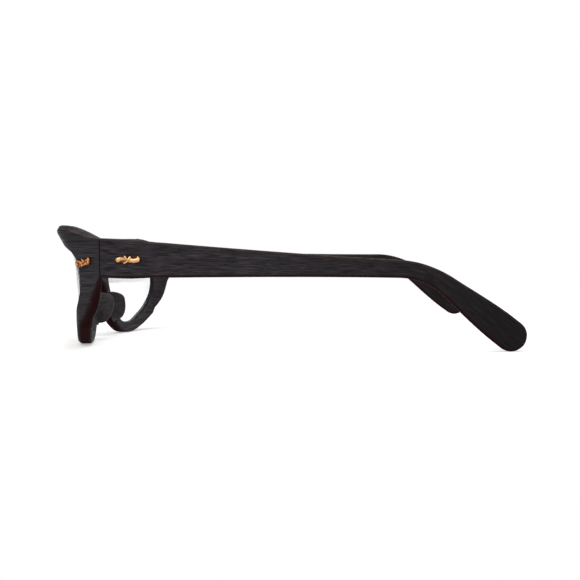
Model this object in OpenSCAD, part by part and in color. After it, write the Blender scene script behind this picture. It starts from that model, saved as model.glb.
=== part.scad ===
// Cat eye eyeglasses, open, standing on the rims and a temple tip.
// Millimetres. +Z up, the front faces -Y, +X is the wearer's left.
// The origin lies under the middle of the whole pair.

/* [Front] */
// Half of the width across the outer faces at the hinges
half_width = 67; // [64:0.5:72]
// Radius of the front in plan, between the two corners
base_radius = 170; // [120:5:220]
// Length of the flat side facet, from the corner back to the seam
facet_length = 12.5; // [11.5:0.5:14]
// Angle of the side facet to the wearer's left-right line
facet_angle = 51; // [46:1:56]
// Radius of the upright edge between front and facet
corner_radius = 8; // [5:0.5:10]
// Thickness of the rims
rim_thickness = 5; // [4:0.1:5.2]
// Extra thickness of the brow
brow_thicker = 0.4; // [0:0.1:1.5]
// Thickness of the end piece at the seam
end_thickness = 4.5; // [4.2:0.1:5]
// Lean of the front, top forward, in degrees
front_lean = 5; // [0:1:8]
// How far the brow flares forward at the wing tips
brow_flare = 5; // [0:0.2:6]
// Height of the wing tips above the floor
wing_z = 41; // [39:0.5:43]
// Height of the middle of the brow
bridge_top_z = 32; // [30:0.5:34]
// Height of the arch over the nose
bridge_bottom_z = 23.5; // [22:0.5:25]
// Softened edge of the rims
rim_bevel = 0.9; // [0.3:0.1:1.2]
// Wide bevel along the top of the brow
brow_bevel = 1.7; // [0.8:0.1:2]

/* [Lenses] */
// Height of the lowest point of the lens opening
lens_bottom_z = 4.4; // [4:0.1:5.5]
// Depth of the groove that holds the lens
groove_depth = 0.9; // [0.6:0.1:1.1]
// Width of the mouth of that groove
groove_width = 1.8; // [1.4:0.1:2.2]
// Thickness of a lens at its edge
lens_thickness = 1.6; // [1.2:0.1:2]

/* [Nose pads] */
// How far a nose pad stands out behind the rim
pad_depth = 5; // [3.5:0.5:6]
// Height of a nose pad
pad_height = 12.5; // [10:0.5:14]
// Width of a nose pad at the rim
pad_width = 4.2; // [3.4:0.2:4.6]

/* [Temples] */
// Straight length of a temple, from the seam to the ear bend
temple_straight = 96; // [90:1:110]
// Radius of the ear bend
bend_radius = 27; // [20:1:35]
// Angle of the temple tip below level
tip_angle = 38; // [30:1:45]
// Fall of the straight part, in degrees
temple_fall = 2.1; // [0:0.1:4]
// Inward lean of each temple, in degrees
temple_toe_in = 1.8; // [0:0.2:3]
// Height of a temple at the seam
temple_height = 12.7; // [12:0.2:14]
// Height of a temple where it is narrowest
waist_height = 5.7; // [5:0.1:7]
// Width of the paddle at the tip
paddle_width = 10.2; // [9:0.2:12]
// Thickness of a temple at the seam
temple_thickness = 4.5; // [4.2:0.1:5]
// Thickness of a temple at the tip
tip_thickness = 3.2; // [2.8:0.1:4]
// Bevel along the edges of a temple
temple_bevel = 0.7; // [0.4:0.1:1]
// Height of the middle of a temple at the seam
temple_z = 30; // [29:0.1:31]
// How much higher the right temple is bent than the left, in degrees
right_lift = 3.3; // [0:0.1:4]

/* [Hinges] */
// Outer radius of the knuckles
knuckle_radius = 1.3; // [1.2:0.1:1.5]
// Height of one knuckle
knuckle_height = 1.3; // [1.2:0.05:1.5]
// Radius of the hinge screw
screw_radius = 0.6; // [0.5:0.05:0.7]
// Radius of the screw's head
head_radius = 1.15; // [1:0.05:1.3]
// Thickness of the hinge plates
plate_thickness = 1; // [0.8:0.1:1.2]
// Height of the hinge plates
plate_height = 7; // [6.6:0.1:8]
// Length of the plate on the temple
temple_plate = 13; // [12:0.5:15]
// Length of the plate on the front
front_plate = 8.6; // [8.2:0.1:9]

/* [Shields] */
// Length of a decorative shield
shield_length = 8.8; // [8:0.2:9.6]
// Height of a decorative shield
shield_height = 2.6; // [2.2:0.1:3.2]
// How far a shield stands proud
shield_proud = 1; // [0.6:0.1:1.4]
// Radius of a shield's pins
pin_radius = 0.6; // [0.5:0.05:0.7]
// Distance between the two pins of a shield
pin_pitch = 4.6; // [4.2:0.1:5]
// Distance from the seam to the middle of a temple shield
temple_shield_y = 9.2; // [9:0.2:10]
// Distance from the seam to the middle of a front shield
front_shield_d = 8.2; // [8:0.1:8.8]
// How far a front shield sits below the hinge's middle
front_shield_drop = 1.4; // [0.6:0.1:1.6]
// Upward tilt of a front shield towards the seam, in degrees
front_shield_tilt = 10; // [0:1:14]

/* [Cores] */
// Radius of the wire inside a temple
core_radius = 0.7; // [0.5:0.1:0.9]
// Length of that wire
core_length = 74; // [60:1:76]

/* [Hidden] */

seam_gap = 0.12;
fit_gap = 0.05;
seat_gap = 0.03;
groove_gap = 0.12;
round_fn = 48;

// Plan curve of the front: an arc, a tight corner and a flat facet that ends at the seam.
corner_sin = (half_width - corner_radius * sin(facet_angle) - facet_length * cos(facet_angle))
    / (base_radius - corner_radius);
base_angle = asin(corner_sin);
base_arc = base_radius * base_angle * PI / 180;
corner_arc = corner_radius * (facet_angle - base_angle) * PI / 180;
facet_start = base_arc + corner_arc;
seam_s = facet_start + facet_length;
front_y = -(base_radius * (1 - cos(base_angle))
    + corner_radius * (cos(base_angle) - cos(facet_angle)) + facet_length * sin(facet_angle));
corner_x = base_radius * sin(base_angle);
corner_y = front_y + base_radius * (1 - cos(base_angle));

function facet_share(s) = max(0, min(1, (s - facet_start) / facet_length));
function heading(s) = s < base_arc ? s / base_radius * 180 / PI
    : min(facet_angle, base_angle + (s - base_arc) / corner_radius * 180 / PI);
function plan(s) =
    s < base_arc ? [base_radius * sin(heading(s)), front_y + base_radius * (1 - cos(heading(s)))]
    : s < facet_start ? [corner_x + corner_radius * (sin(heading(s)) - sin(base_angle)),
        corner_y + corner_radius * (cos(base_angle) - cos(heading(s)))]
    : [half_width - (seam_s - s) * cos(facet_angle), -(seam_s - s) * sin(facet_angle)];

// The depth direction turns from square to the front towards square to the temple.
function depth_angle(s) = heading(s) + (90 - facet_angle) * facet_share(s);
lean_z = temple_z;
flare_z = 28;
function flare(z) = brow_flare * pow(max(0, z - flare_z) / (wing_z - flare_z), 1.5);
function lean(s, z) = (1 - facet_share(s)) * (-(z - lean_z) * tan(front_lean) - flare(z));
function on_front(s, z, d) = [plan(s)[0] - d * sin(depth_angle(s)),
    plan(s)[1] + d * cos(depth_angle(s)) + lean(s, z), z];
function rim_depth(s, z) = rim_thickness
    + brow_thicker * max(0, min(1, (z - flare_z) / 8)) * (1 - facet_share(s))
    + (end_thickness - rim_thickness) * facet_share(s);

// Smooth curve through key points. The ends run straight out of the last two points.
function key(k, i) = i < 0 ? 2 * k[0] - k[1] : i >= len(k) ? 2 * k[len(k) - 1] - k[len(k) - 2] : k[i];
function bow(a, b, c, d, t) = 0.5 * (2 * b + (c - a) * t + (2 * a - 5 * b + 4 * c - d) * t * t
    + (3 * b - a - 3 * c + d) * t * t * t);
function through(k, t) = let (n = len(k) - 1, i = min(n - 1, floor(t * n)), f = t * n - i)
    bow(key(k, i - 1), key(k, i), key(k, i + 1), key(k, i + 2), f);
function curve(k, n) = [for (i = [0:n - 1]) through(k, i / n)];

// Outline of one half of the front, from the middle of the brow round the wing, down the seam,
// along the lower rim and up the nose to the arch. Values are [distance along the plan, height].
seam_top_z = temple_z + temple_height / 2 - 0.2;
seam_low_z = temple_z - temple_height / 2 + 0.3;
nose_s = 11.6;
outer_s = facet_start + 0.3;
function span(t) = nose_s + (outer_s - nose_s) * t;
wing_s = seam_s - facet_length;
brow_keys = [[0, bridge_top_z], [9, bridge_top_z + 1.2], [span(0.25), wing_z - 4],
    [span(0.7), wing_z - 1.8], [wing_s, wing_z]];
wing_round = 3.5;
wing_drop = 0.9;
wing_keys = [[wing_s, wing_z], [wing_s + wing_round, wing_z - wing_drop], [seam_s, seam_top_z]];
seam_keys = [[seam_s, seam_top_z], [seam_s, seam_low_z]];
low_keys = [[seam_s, seam_low_z], [seam_s - 3.4, 19], [seam_s - 7.6, 13.6], [seam_s - 16.5, 7.2],
    [seam_s - 27.5, 2.4], [span(0.47), 0.03], [span(0.24), 1.2], [14, 6.6], [10, 13], [6.6, 19.5],
    [0, bridge_bottom_z]];
arch_keys = [[0, bridge_bottom_z], [0, bridge_top_z]];

// The lens opening, in the same five stretches.
open_top = [[span(0.03), 29.2], [span(0.11), 31.2], [span(0.29), wing_z - 8.6],
    [span(0.66), wing_z - 7], [span(0.9), wing_z - 7.8]];
open_wing = [[span(0.9), wing_z - 7.8], [span(0.957), wing_z - 9.4], [span(0.986), wing_z - 12]];
open_side = [[span(0.986), wing_z - 12], [outer_s, 24.5]];
open_low = [[outer_s, 24.5], [span(0.985), 19.6], [span(0.93), 14.7], [span(0.81), 9.9],
    [span(0.65), 6.3], [span(0.495), lens_bottom_z], [span(0.29), lens_bottom_z + 0.8],
    [span(0.14), 9.4], [span(0.06), 15], [nose_s + 0.4, 20.6], [nose_s, 24.6]];
open_nose = [[nose_s, 24.6], [span(0.03), 29.2]];

counts = [16, 7, 5, 32, 4];
outline = concat(curve(brow_keys, counts[0]), curve(wing_keys, counts[1]), curve(seam_keys, counts[2]),
    curve(low_keys, counts[3]), curve(arch_keys, counts[4]));
opening = concat(curve(open_top, counts[0]), curve(open_wing, counts[1]), curve(open_side, counts[2]),
    curve(open_low, counts[3]), curve(open_nose, counts[4]));
stations = len(outline);
arch_first = stations - counts[4];

// One section across the rim, from the lens opening over the front face to the outline,
// round the outer edge, back over the rear face and through the lens groove.
face_steps = 5;
function along(a, b, mm) = a + (b - a) * min(0.4, mm / norm(b - a));
function outer_bevel(i) = i < counts[0] + counts[1] ? brow_bevel : rim_bevel;
function is_arch(i) = i >= arch_first || i == 0;
function flat_point(m, d) = on_front(m[0], m[1], d);
function section(i) =
    let (
        p = opening[i],
        q = outline[i],
        p_in = along(p, q, rim_bevel),
        q_top = is_arch(i) ? q : along(q, p, outer_bevel(i)),
        q_back = is_arch(i) ? q : along(q, p, rim_bevel),
        t_q = rim_depth(q[0], q[1]),
        t_p = rim_depth(p[0], p[1]),
        p_deep = p + (q - p) * groove_depth / norm(q - p)
    )
    concat(
        [for (k = [0:face_steps]) flat_point(p_in + (q_top - p_in) * k / face_steps, 0)],
        is_arch(i) ? [flat_point(q, t_q / 3), flat_point(q, t_q * 2 / 3)]
            : [flat_point(q, outer_bevel(i)), flat_point(q, t_q - rim_bevel)],
        [for (k = [0:face_steps]) let (m = q_back + (p_in - q_back) * k / face_steps)
            flat_point(m, rim_depth(m[0], m[1]))],
        [flat_point(p, t_p - rim_bevel), flat_point(p, rim_thickness / 2 + groove_width / 2),
            flat_point(p_deep, rim_thickness / 2), flat_point(p, rim_thickness / 2 - groove_width / 2),
            flat_point(p, rim_bevel)]
    );
ring = [for (i = [0:stations - 1]) section(i)];
ring_size = len(ring[0]);
edge_from = face_steps;
edge_to = face_steps + 3;
half_points = [for (r = ring) for (p = r) p];

// Both halves share one skin. Where the outline runs up the middle plane the skin stays open
// towards the other half.
function half_faces(base, flip) = [for (i = [0:stations - 1]) for (j = [0:ring_size - 1])
    let (
        i2 = (i + 1) % stations,
        j2 = (j + 1) % ring_size,
        a = base + i * ring_size + j,
        b = base + i2 * ring_size + j,
        c = base + i2 * ring_size + j2,
        d = base + i * ring_size + j2,
        middle = i >= arch_first && j >= edge_from && j < edge_to
    )
    if (!middle) each (flip ? [[a, c, b], [a, d, c]] : [[a, b, c], [a, c, d]])];
front_points = concat(half_points, [for (p = half_points) [-p[0], p[1], p[2]]]);
front_faces = concat(half_faces(0, false), half_faces(len(half_points), true));

// Overall reach, for the origin under the middle of the pair.
front_reach = min([for (p = half_points) p[1]]);

// Side profile of a temple: straight, ear bend, straight tip.
bend_turn = tip_angle - temple_fall;
bend_arc = bend_radius * bend_turn * PI / 180;
bend_y = temple_straight * cos(temple_fall);
bend_z = temple_z - temple_straight * sin(temple_fall);
tip_y = bend_y + bend_radius * (sin(tip_angle) - sin(temple_fall));
tip_z = bend_z - bend_radius * (cos(temple_fall) - cos(tip_angle));
// The tip runs down until its round end touches the floor.
end_radius = paddle_width / 2;
tip_length = end_radius + (tip_z - end_radius) / sin(tip_angle);
temple_total = temple_straight + bend_arc + tip_length;
function fall(u) = u < temple_straight ? temple_fall
    : min(tip_angle, temple_fall + (u - temple_straight) / bend_radius * 180 / PI);
function path(u) =
    u < temple_straight ? [u * cos(temple_fall), temple_z - u * sin(temple_fall)]
    : u < temple_straight + bend_arc ? [bend_y + bend_radius * (sin(fall(u)) - sin(temple_fall)),
        bend_z - bend_radius * (cos(temple_fall) - cos(fall(u)))]
    : let (v = u - temple_straight - bend_arc) [tip_y + v * cos(tip_angle), tip_z - v * sin(tip_angle)];

// Half height along the temple: a long taper to the waist, then the paddle with its round end.
waist_u = temple_straight + 4;
function ease(t) = let (c = max(0, min(1, t))) c * c * (3 - 2 * c);
function taper(u) = u < 8 ? 1 : u < 20 ? 1 - 0.2 * ease((u - 8) / 12)
    : 0.8 * pow(max(0, 1 - (u - 20) / (waist_u - 20)), 1.35);
function half_height(u) =
    u < waist_u ? waist_height / 2 + (temple_height - waist_height) / 2 * taper(u)
    : waist_height / 2 + (paddle_width - waist_height) / 2
        * ease((u - waist_u - 4) / (temple_total - waist_u - 12));
function round_end(u) = u < temple_total - end_radius ? 1
    : sqrt(max(0, 1 - pow((u - temple_total + end_radius) / end_radius, 2)));
function thickness(u) = temple_thickness + (tip_thickness - temple_thickness) * min(1, u / temple_straight);

body_steps = 34;
end_steps = 9;
temple_us = concat(
    [0, 2.2, 5],
    [for (i = [1:body_steps]) 5 + (temple_total - end_radius - 5) * i / body_steps],
    [for (i = [1:end_steps]) temple_total - end_radius + end_radius * sin(i / end_steps * 86)]);
function section_tilt(u) = fall(u) * min(1, u / 10);

// A section is a rectangle with eased corners, [across, up].
function temple_section(hh, t, bevel) =
    let (b = min(bevel, hh * 0.6, t * 0.3), m = b * 0.3)
    [[0, hh - b], [-m, hh - m], [-b, hh], [-t + b, hh], [-t + m, hh - m], [-t, hh - b],
        [-t, -hh + b], [-t + m, -hh + m], [-t + b, -hh], [-b, -hh], [-m, -hh + m], [0, -hh + b]];
function temple_ring(u, lift) =
    let (
        c = path(u),
        tilt = section_tilt(u),
        thin = thickness(u) * (0.55 + 0.45 * round_end(u)),
        inset = (thickness(u) - thin) / 2,
        y0 = seam_gap + c[0],
        x0 = half_width - y0 * tan(temple_toe_in) - inset
    )
    [for (q = temple_section(half_height(u) * max(0.1, round_end(u)), thin, temple_bevel))
        let (y = y0 + q[1] * sin(tilt), z = c[1] + q[1] * cos(tilt))
        [x0 + q[0], y, z + max(0, y - lift_from) * tan(lift)]];
lift_from = 16;

function tube_faces(n, m) = concat(
    [[for (j = [0:m - 1]) j]],
    [for (i = [0:n - 2]) for (j = [0:m - 1]) let (j2 = (j + 1) % m)
        each [[i * m + j, (i + 1) * m + j, (i + 1) * m + j2], [i * m + j, (i + 1) * m + j2, i * m + j2]]],
    [[for (j = [m - 1:-1:0]) (n - 1) * m + j]]);

reach_left = max([for (u = temple_us) for (p = temple_ring(u, 0)) p[1]]);
reach_right = max([for (u = temple_us) for (p = temple_ring(u, right_lift)) p[1]]);
seam_y = -(max(reach_left, reach_right) + front_reach) / 2;

// Hinge: three knuckles on the front, two on the temple, one screw through all five.
axis_x = half_width - temple_thickness - 3.1;
axis_y = 0.9;
hinge_z = temple_z;
knuckle_gap = 0.05;
hinge_low = hinge_z - 2.5 * knuckle_height;
arm_width = 1.5 * knuckle_radius;
arm_start = 0.45;
arm_trim = 0.1;
arm_back = screw_radius + 0.15;
arm_height = knuckle_height - knuckle_gap - 2 * arm_trim;

module left_of_seam() {
    translate([0, seam_y, 0])
        children();
}

module mirrored() {
    mirror([1, 0, 0])
        children();
}

// Local frame on the outer face of the facet: +X points out of the face, +Y runs to the seam.
module at_facet(d) {
    translate([half_width - d * cos(facet_angle), -d * sin(facet_angle), hinge_z - front_shield_drop])
        rotate([0, 0, facet_angle - 90])
            rotate([front_shield_tilt, 0, 0])
                children();
}

// Local frame on the inner face of the end piece, +X towards the wearer's head.
inner_seam = [half_width - end_thickness, 0];
inner_corner = on_front(facet_start, lean_z, rim_thickness);
inner_angle = atan2(inner_seam[1] - inner_corner[1], inner_seam[0] - inner_corner[0]);
inner_turn = inner_angle + 90;
module at_inner_face() {
    translate([inner_seam[0], inner_seam[1], hinge_z])
        rotate([0, 0, inner_turn])
            children();
}
axis_off = (axis_x - inner_seam[0]) * cos(inner_turn) + (axis_y - inner_seam[1]) * sin(inner_turn);
axis_along = -(axis_x - inner_seam[0]) * sin(inner_turn) + (axis_y - inner_seam[1]) * cos(inner_turn);

// The front plate is let in by its whole thickness; grow widens the recess.
plate_start = 0.7;
cut_over = 3;
module front_plate_block(grow) {
    at_inner_face()
        translate([-plate_thickness - grow, plate_start - grow, -plate_height / 2 - grow])
            cube([plate_thickness + grow + (grow > 0 ? cut_over : 0), front_plate + 2 * grow,
                plate_height + 2 * grow]);
}

module knuckles(levels, bore) {
    for (k = levels)
        translate([axis_x, axis_y, hinge_low + k * knuckle_height + knuckle_gap / 2])
            cylinder(h = knuckle_height - knuckle_gap, r = bore, $fn = round_fn);
}

// The pins end short of the hinge plates. The facet crowns a little under its shield.
front_pin_depth = end_thickness - plate_thickness - 0.9;
temple_pin_depth = temple_thickness - plate_thickness - 0.2;
facet_crown = 0.12;
module shield_pins(from, to, r) {
    for (side = [-1, 1])
        translate([from, side * pin_pitch / 2, 0])
            rotate([0, 90, 0])
                cylinder(h = to - from, r = r, $fn = 32);
}

// A cast nugget like a knotted twig: lumps strung along a wavy line, flat at the back.
lumps = 9;
function lump_r(i) = shield_height / 2 * (0.74 + 0.2 * sin(i * 137) + (i == 0 || i == lumps - 1 ? 0.1 : 0));
function lump_at(i) = [0, (i / (lumps - 1) - 0.5) * (shield_length - shield_height * 0.9),
    shield_height * 0.16 * sin(i * 95 + 20)];
module nugget(seed) {
    intersection() {
        union() {
            for (i = [0:lumps - 1])
                translate(lump_at(i) + [seed * 0.04 * sin(i * 77), 0, 0])
                    sphere(r = min(lump_r(i), shield_proud + 0.1), $fn = 24);
            translate([0, -shield_length / 2 + shield_height / 2, -shield_height * 0.3])
                cube([shield_proud * 0.6, shield_length - shield_height, shield_height * 0.6]);
        }
        translate([seat_gap, -shield_length, -shield_height])
            cube([shield_proud * 2, 2 * shield_length, 2 * shield_height]);
    }
}

module front_frame() {
    color([0.21, 0.2, 0.21])
        left_of_seam()
            difference() {
                polyhedron(points = front_points, faces = front_faces, convexity = 12);
                front_cuts();
                mirrored()
                    front_cuts();
            }
}

module front_cuts() {
    front_plate_block(fit_gap);
    at_facet(front_shield_d)
        shield_pins(-front_pin_depth - fit_gap, 1, pin_radius + fit_gap);
}

// The lens edge is a ridge that sits in the groove of the rim.
lens_rings = [0.3, 0.6, 0.82, 1];
lens_centre = [span(0.495), 18.5];
function lens_share(i, grow) = let (p = opening[i], c = lens_centre)
    p + (p - c) / norm(p - c) * grow;
function lens_loop(share, grow, d) = [for (i = [0:stations - 1])
    let (m = lens_centre + (lens_share(i, grow) - lens_centre) * share) on_front(m[0], m[1], d)];
lens_front = rim_thickness / 2 - lens_thickness / 2;
lens_back = rim_thickness / 2 + lens_thickness / 2;
lens_points = concat(
    [on_front(lens_centre[0], lens_centre[1], lens_front)],
    [for (s = lens_rings) each lens_loop(s, -groove_gap, lens_front)],
    lens_loop(1, groove_depth * 0.55, rim_thickness / 2),
    [for (k = [len(lens_rings) - 1:-1:0]) each lens_loop(lens_rings[k], -groove_gap, lens_back)],
    [on_front(lens_centre[0], lens_centre[1], lens_back)]);
lens_loops = 2 * len(lens_rings) + 1;
lens_last = lens_loops * stations + 1;
lens_faces = concat(
    [for (i = [0:stations - 1]) [0, 1 + (i + 1) % stations, 1 + i]],
    [for (k = [0:lens_loops - 2]) for (i = [0:stations - 1])
        let (a = 1 + k * stations, i2 = (i + 1) % stations)
        each [[a + i, a + i2, a + stations + i2], [a + i, a + stations + i2, a + stations + i]]],
    [for (i = [0:stations - 1]) let (a = 1 + (lens_loops - 1) * stations)
        [a + i, a + (i + 1) % stations, lens_last]]);

module lens_left() {
    color([0.9, 0.93, 0.94, 0.4])
        left_of_seam()
            polyhedron(points = lens_points, faces = lens_faces, convexity = 6);
}

module lens_right() {
    mirrored()
        lens_left();
}

// A pad is a fin on the rear face of the rim beside the nose: steep flanks, an eased crest.
pad_sides = 28;
pad_rings = 6;
pad_centre = [11.4, 12];
pad_lean = 24;
pad_last_turn = 84;
pad_foot = 0.4;
pad_crest = 3.8;
function pad_reach(t) = pow(cos(t), 0.8);
function pad_rise(t) = pad_foot + (pad_depth - pad_foot) * pow(sin(t), 0.86);
function pad_flat(a, r) =
    let (u = pad_width / 2 * r * cos(a), v = pad_height / 2 * r * sin(a) + pad_crest * (1 - r))
    pad_centre + [u * cos(pad_lean) + v * -sin(pad_lean), u * sin(pad_lean) + v * cos(pad_lean)];
function pad_loop(r, d) = [for (i = [0:pad_sides - 1])
    let (m = pad_flat(i * 360 / pad_sides, r), base = rim_depth(m[0], m[1]) + seat_gap)
    on_front(m[0], m[1], base + d)];
pad_tip = pad_flat(0, 0);
pad_seat = rim_depth(pad_tip[0], pad_tip[1]) + seat_gap;
pad_points = concat(
    [on_front(pad_tip[0], pad_tip[1], pad_seat)],
    pad_loop(0.5, 0),
    pad_loop(0.95, 0),
    [for (k = [0:pad_rings]) let (t = k / pad_rings * pad_last_turn)
        each pad_loop(pad_reach(t), pad_rise(t))],
    [on_front(pad_tip[0], pad_tip[1], pad_seat + pad_depth)]);
pad_loops = pad_rings + 3;
pad_last = pad_loops * pad_sides + 1;
pad_faces = concat(
    [for (i = [0:pad_sides - 1]) [0, 1 + i, 1 + (i + 1) % pad_sides]],
    [for (k = [0:pad_loops - 2]) for (i = [0:pad_sides - 1])
        let (a = 1 + k * pad_sides, i2 = (i + 1) % pad_sides)
        each [[a + i, a + pad_sides + i2, a + i2], [a + i, a + pad_sides + i, a + pad_sides + i2]]],
    [for (i = [0:pad_sides - 1]) let (a = 1 + (pad_loops - 1) * pad_sides)
        [a + i, pad_last, a + (i + 1) % pad_sides]]);

module nose_pad_left() {
    color([0.23, 0.22, 0.22])
        left_of_seam()
            polyhedron(points = pad_points, faces = pad_faces, convexity = 4);
}

module nose_pad_right() {
    mirrored()
        nose_pad_left();
}

module front_shield_left() {
    color([0.85, 0.6, 0.35])
        left_of_seam()
            at_facet(front_shield_d) {
                translate([facet_crown, 0, 0])
                    nugget(1);
                shield_pins(-front_pin_depth, shield_proud * 0.4, pin_radius);
            }
}

module front_shield_right() {
    mirrored()
        front_shield_left();
}

module hinge_front_left() {
    color([0.72, 0.6, 0.4])
        left_of_seam()
            difference() {
                union() {
                    front_plate_block(0);
                    for (k = [0, 2, 4])
                        at_inner_face()
                            translate([-plate_thickness / 2, plate_start + fit_gap,
                                hinge_low - hinge_z + k * knuckle_height + knuckle_gap / 2 + arm_trim])
                                cube([axis_off + plate_thickness / 2 - arm_back,
                                    axis_along + arm_width / 2 - plate_start - fit_gap, arm_height]);
                    knuckles([0, 2, 4], knuckle_radius);
                }
                translate([axis_x, axis_y, hinge_low - 1])
                    cylinder(h = 5 * knuckle_height + 2, r = screw_radius + fit_gap, $fn = round_fn);
            }
}

module hinge_front_right() {
    mirrored()
        hinge_front_left();
}

module hinge_screw_left() {
    color([0.75, 0.62, 0.42])
        left_of_seam()
            translate([axis_x, axis_y, 0])
                union() {
                    translate([0, 0, hinge_low + 0.2])
                        cylinder(h = 5 * knuckle_height - 0.1, r = screw_radius, $fn = round_fn);
                    difference() {
                        translate([0, 0, hinge_low + 5 * knuckle_height])
                            cylinder(h = 0.6, r = head_radius, $fn = round_fn);
                        translate([-head_radius * 1.2, -0.15, hinge_low + 5 * knuckle_height + 0.3])
                            cube([head_radius * 2.4, 0.3, 1]);
                    }
                }
}

module hinge_screw_right() {
    mirrored()
        hinge_screw_left();
}

// Local frame on the inner face of the temple.
module at_temple_inner() {
    translate([half_width - temple_thickness, seam_gap, hinge_z])
        rotate([0, 0, temple_toe_in])
            children();
}

temple_plate_start = 1.2;
module temple_plate_block(grow) {
    at_temple_inner()
        translate([(grow > 0 ? -cut_over : 0), temple_plate_start - grow, -plate_height / 2 - grow])
            cube([plate_thickness + grow + (grow > 0 ? cut_over : 0), temple_plate + 2 * grow,
                plate_height + 2 * grow]);
}

module hinge_temple_left() {
    color([0.72, 0.6, 0.4])
        left_of_seam()
            difference() {
                union() {
                    temple_plate_block(0);
                    for (k = [1, 3])
                        translate([axis_x, axis_y + arm_start,
                            hinge_low + k * knuckle_height + knuckle_gap / 2 + arm_trim])
                            cube([half_width - temple_thickness - axis_x + plate_thickness / 2,
                                arm_width, arm_height]);
                    knuckles([1, 3], knuckle_radius);
                }
                translate([axis_x, axis_y, hinge_low - 1])
                    cylinder(h = 5 * knuckle_height + 2, r = screw_radius + fit_gap, $fn = round_fn);
            }
}

module hinge_temple_right() {
    mirrored()
        hinge_temple_left();
}

module at_temple_outer(y) {
    translate([half_width - y * tan(temple_toe_in), y, hinge_z - 0.7])
        rotate([0, 0, temple_toe_in])
            children();
}

// The core wire runs down the middle of the straight part.
core_start = 17;
module core_rod(grow, lift) {
    x = half_width - temple_thickness * 0.46 - core_start * tan(temple_toe_in);
    translate([x, core_start + seam_gap - grow, temple_z - core_start * sin(temple_fall)])
        rotate([-90 - temple_fall + lift, 0, temple_toe_in])
            cylinder(h = core_length + 2 * grow, r = core_radius + grow, $fn = 32);
}

module temple(lift) {
    color([0.2, 0.19, 0.2])
        difference() {
            polyhedron(points = [for (u = temple_us) each temple_ring(u, lift)],
                faces = tube_faces(len(temple_us), 12), convexity = 6);
            temple_plate_block(fit_gap);
            at_temple_outer(temple_shield_y)
                shield_pins(-temple_pin_depth - fit_gap, 1, pin_radius + fit_gap);
            core_rod(fit_gap, lift);
        }
}

module temple_left() {
    left_of_seam()
        temple(0);
}

module temple_right() {
    mirrored()
        left_of_seam()
            temple(right_lift);
}

module temple_shield_left() {
    color([0.85, 0.6, 0.35])
        left_of_seam()
            at_temple_outer(temple_shield_y) {
                nugget(-1);
                shield_pins(-temple_pin_depth, shield_proud * 0.4, pin_radius);
            }
}

module temple_shield_right() {
    mirrored()
        temple_shield_left();
}

module temple_core_left() {
    color([0.6, 0.6, 0.6])
        left_of_seam()
            core_rod(0, 0);
}

module temple_core_right() {
    color([0.6, 0.6, 0.6])
        mirrored()
            left_of_seam()
                core_rod(0, right_lift);
}

front_frame();
lens_left();
lens_right();
nose_pad_left();
nose_pad_right();
front_shield_left();
front_shield_right();
hinge_front_left();
hinge_front_right();
hinge_screw_left();
hinge_screw_right();
hinge_temple_left();
hinge_temple_right();
temple_left();
temple_right();
temple_shield_left();
temple_shield_right();
temple_core_left();
temple_core_right();
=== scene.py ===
import math

import bmesh
import bpy
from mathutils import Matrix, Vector


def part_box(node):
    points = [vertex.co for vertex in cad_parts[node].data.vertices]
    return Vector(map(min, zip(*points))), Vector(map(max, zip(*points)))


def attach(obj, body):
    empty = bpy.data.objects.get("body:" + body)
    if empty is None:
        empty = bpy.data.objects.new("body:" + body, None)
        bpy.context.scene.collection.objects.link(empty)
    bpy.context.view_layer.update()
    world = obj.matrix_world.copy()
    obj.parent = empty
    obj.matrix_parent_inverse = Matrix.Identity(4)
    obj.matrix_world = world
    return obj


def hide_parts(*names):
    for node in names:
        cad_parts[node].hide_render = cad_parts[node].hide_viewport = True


# Cat eye eyeglasses. Dictionaries hold millimetres and degrees; y counts from the hinge seam.
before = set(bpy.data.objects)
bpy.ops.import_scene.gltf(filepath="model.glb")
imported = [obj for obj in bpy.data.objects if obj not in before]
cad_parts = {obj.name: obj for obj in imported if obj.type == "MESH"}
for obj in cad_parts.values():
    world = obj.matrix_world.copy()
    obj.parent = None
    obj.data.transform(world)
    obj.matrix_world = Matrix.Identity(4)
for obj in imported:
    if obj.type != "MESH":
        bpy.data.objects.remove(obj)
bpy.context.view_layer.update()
mm = 0.001
signs = {"left": 1, "right": -1}
axisBack = 0.9    # the hinge screw stands this far behind the seam


def findSeam():
    low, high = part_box("hinge_screw_left")
    return (low[1] + high[1]) / 2 / mm - axisBack


seamY = findSeam()
print("frame: seam at y", round(seamY, 3), "mm")


def place(p):
    return Vector((p[0], p[1] + seamY, p[2])) * mm


def pieceName(*words):
    return "".join(word.capitalize() for word in words)


def addObject(name, data):
    thing = bpy.data.objects.new(name, data)
    bpy.context.scene.collection.objects.link(thing)
    return thing


def toMesh(bm, name):
    mesh = bpy.data.meshes.new(name)
    bm.to_mesh(mesh)
    bm.free()
    return mesh


def makePiece(name, points, faces, marks=None, weld=0.0):
    # marks: values kept on each point, numbers or vectors
    mesh = bpy.data.meshes.new(name)
    mesh.from_pydata([place(p) for p in points], [], faces)
    for label, values in (marks or {}).items():
        if hasattr(values[0], "__len__"):
            layer = mesh.attributes.new(label, "FLOAT_VECTOR", "POINT")
            layer.data.foreach_set("vector", [c for v in values for c in v])
        else:
            layer = mesh.attributes.new(label, "FLOAT", "POINT")
            layer.data.foreach_set("value", values)
    bm = bmesh.new()
    bm.from_mesh(mesh)
    if weld:
        bmesh.ops.remove_doubles(bm, verts=bm.verts, dist=weld * mm)
    bmesh.ops.recalc_face_normals(bm, faces=bm.faces)
    bm.to_mesh(mesh)
    bm.free()
    mesh.shade_smooth()
    return addObject(name, mesh)


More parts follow.
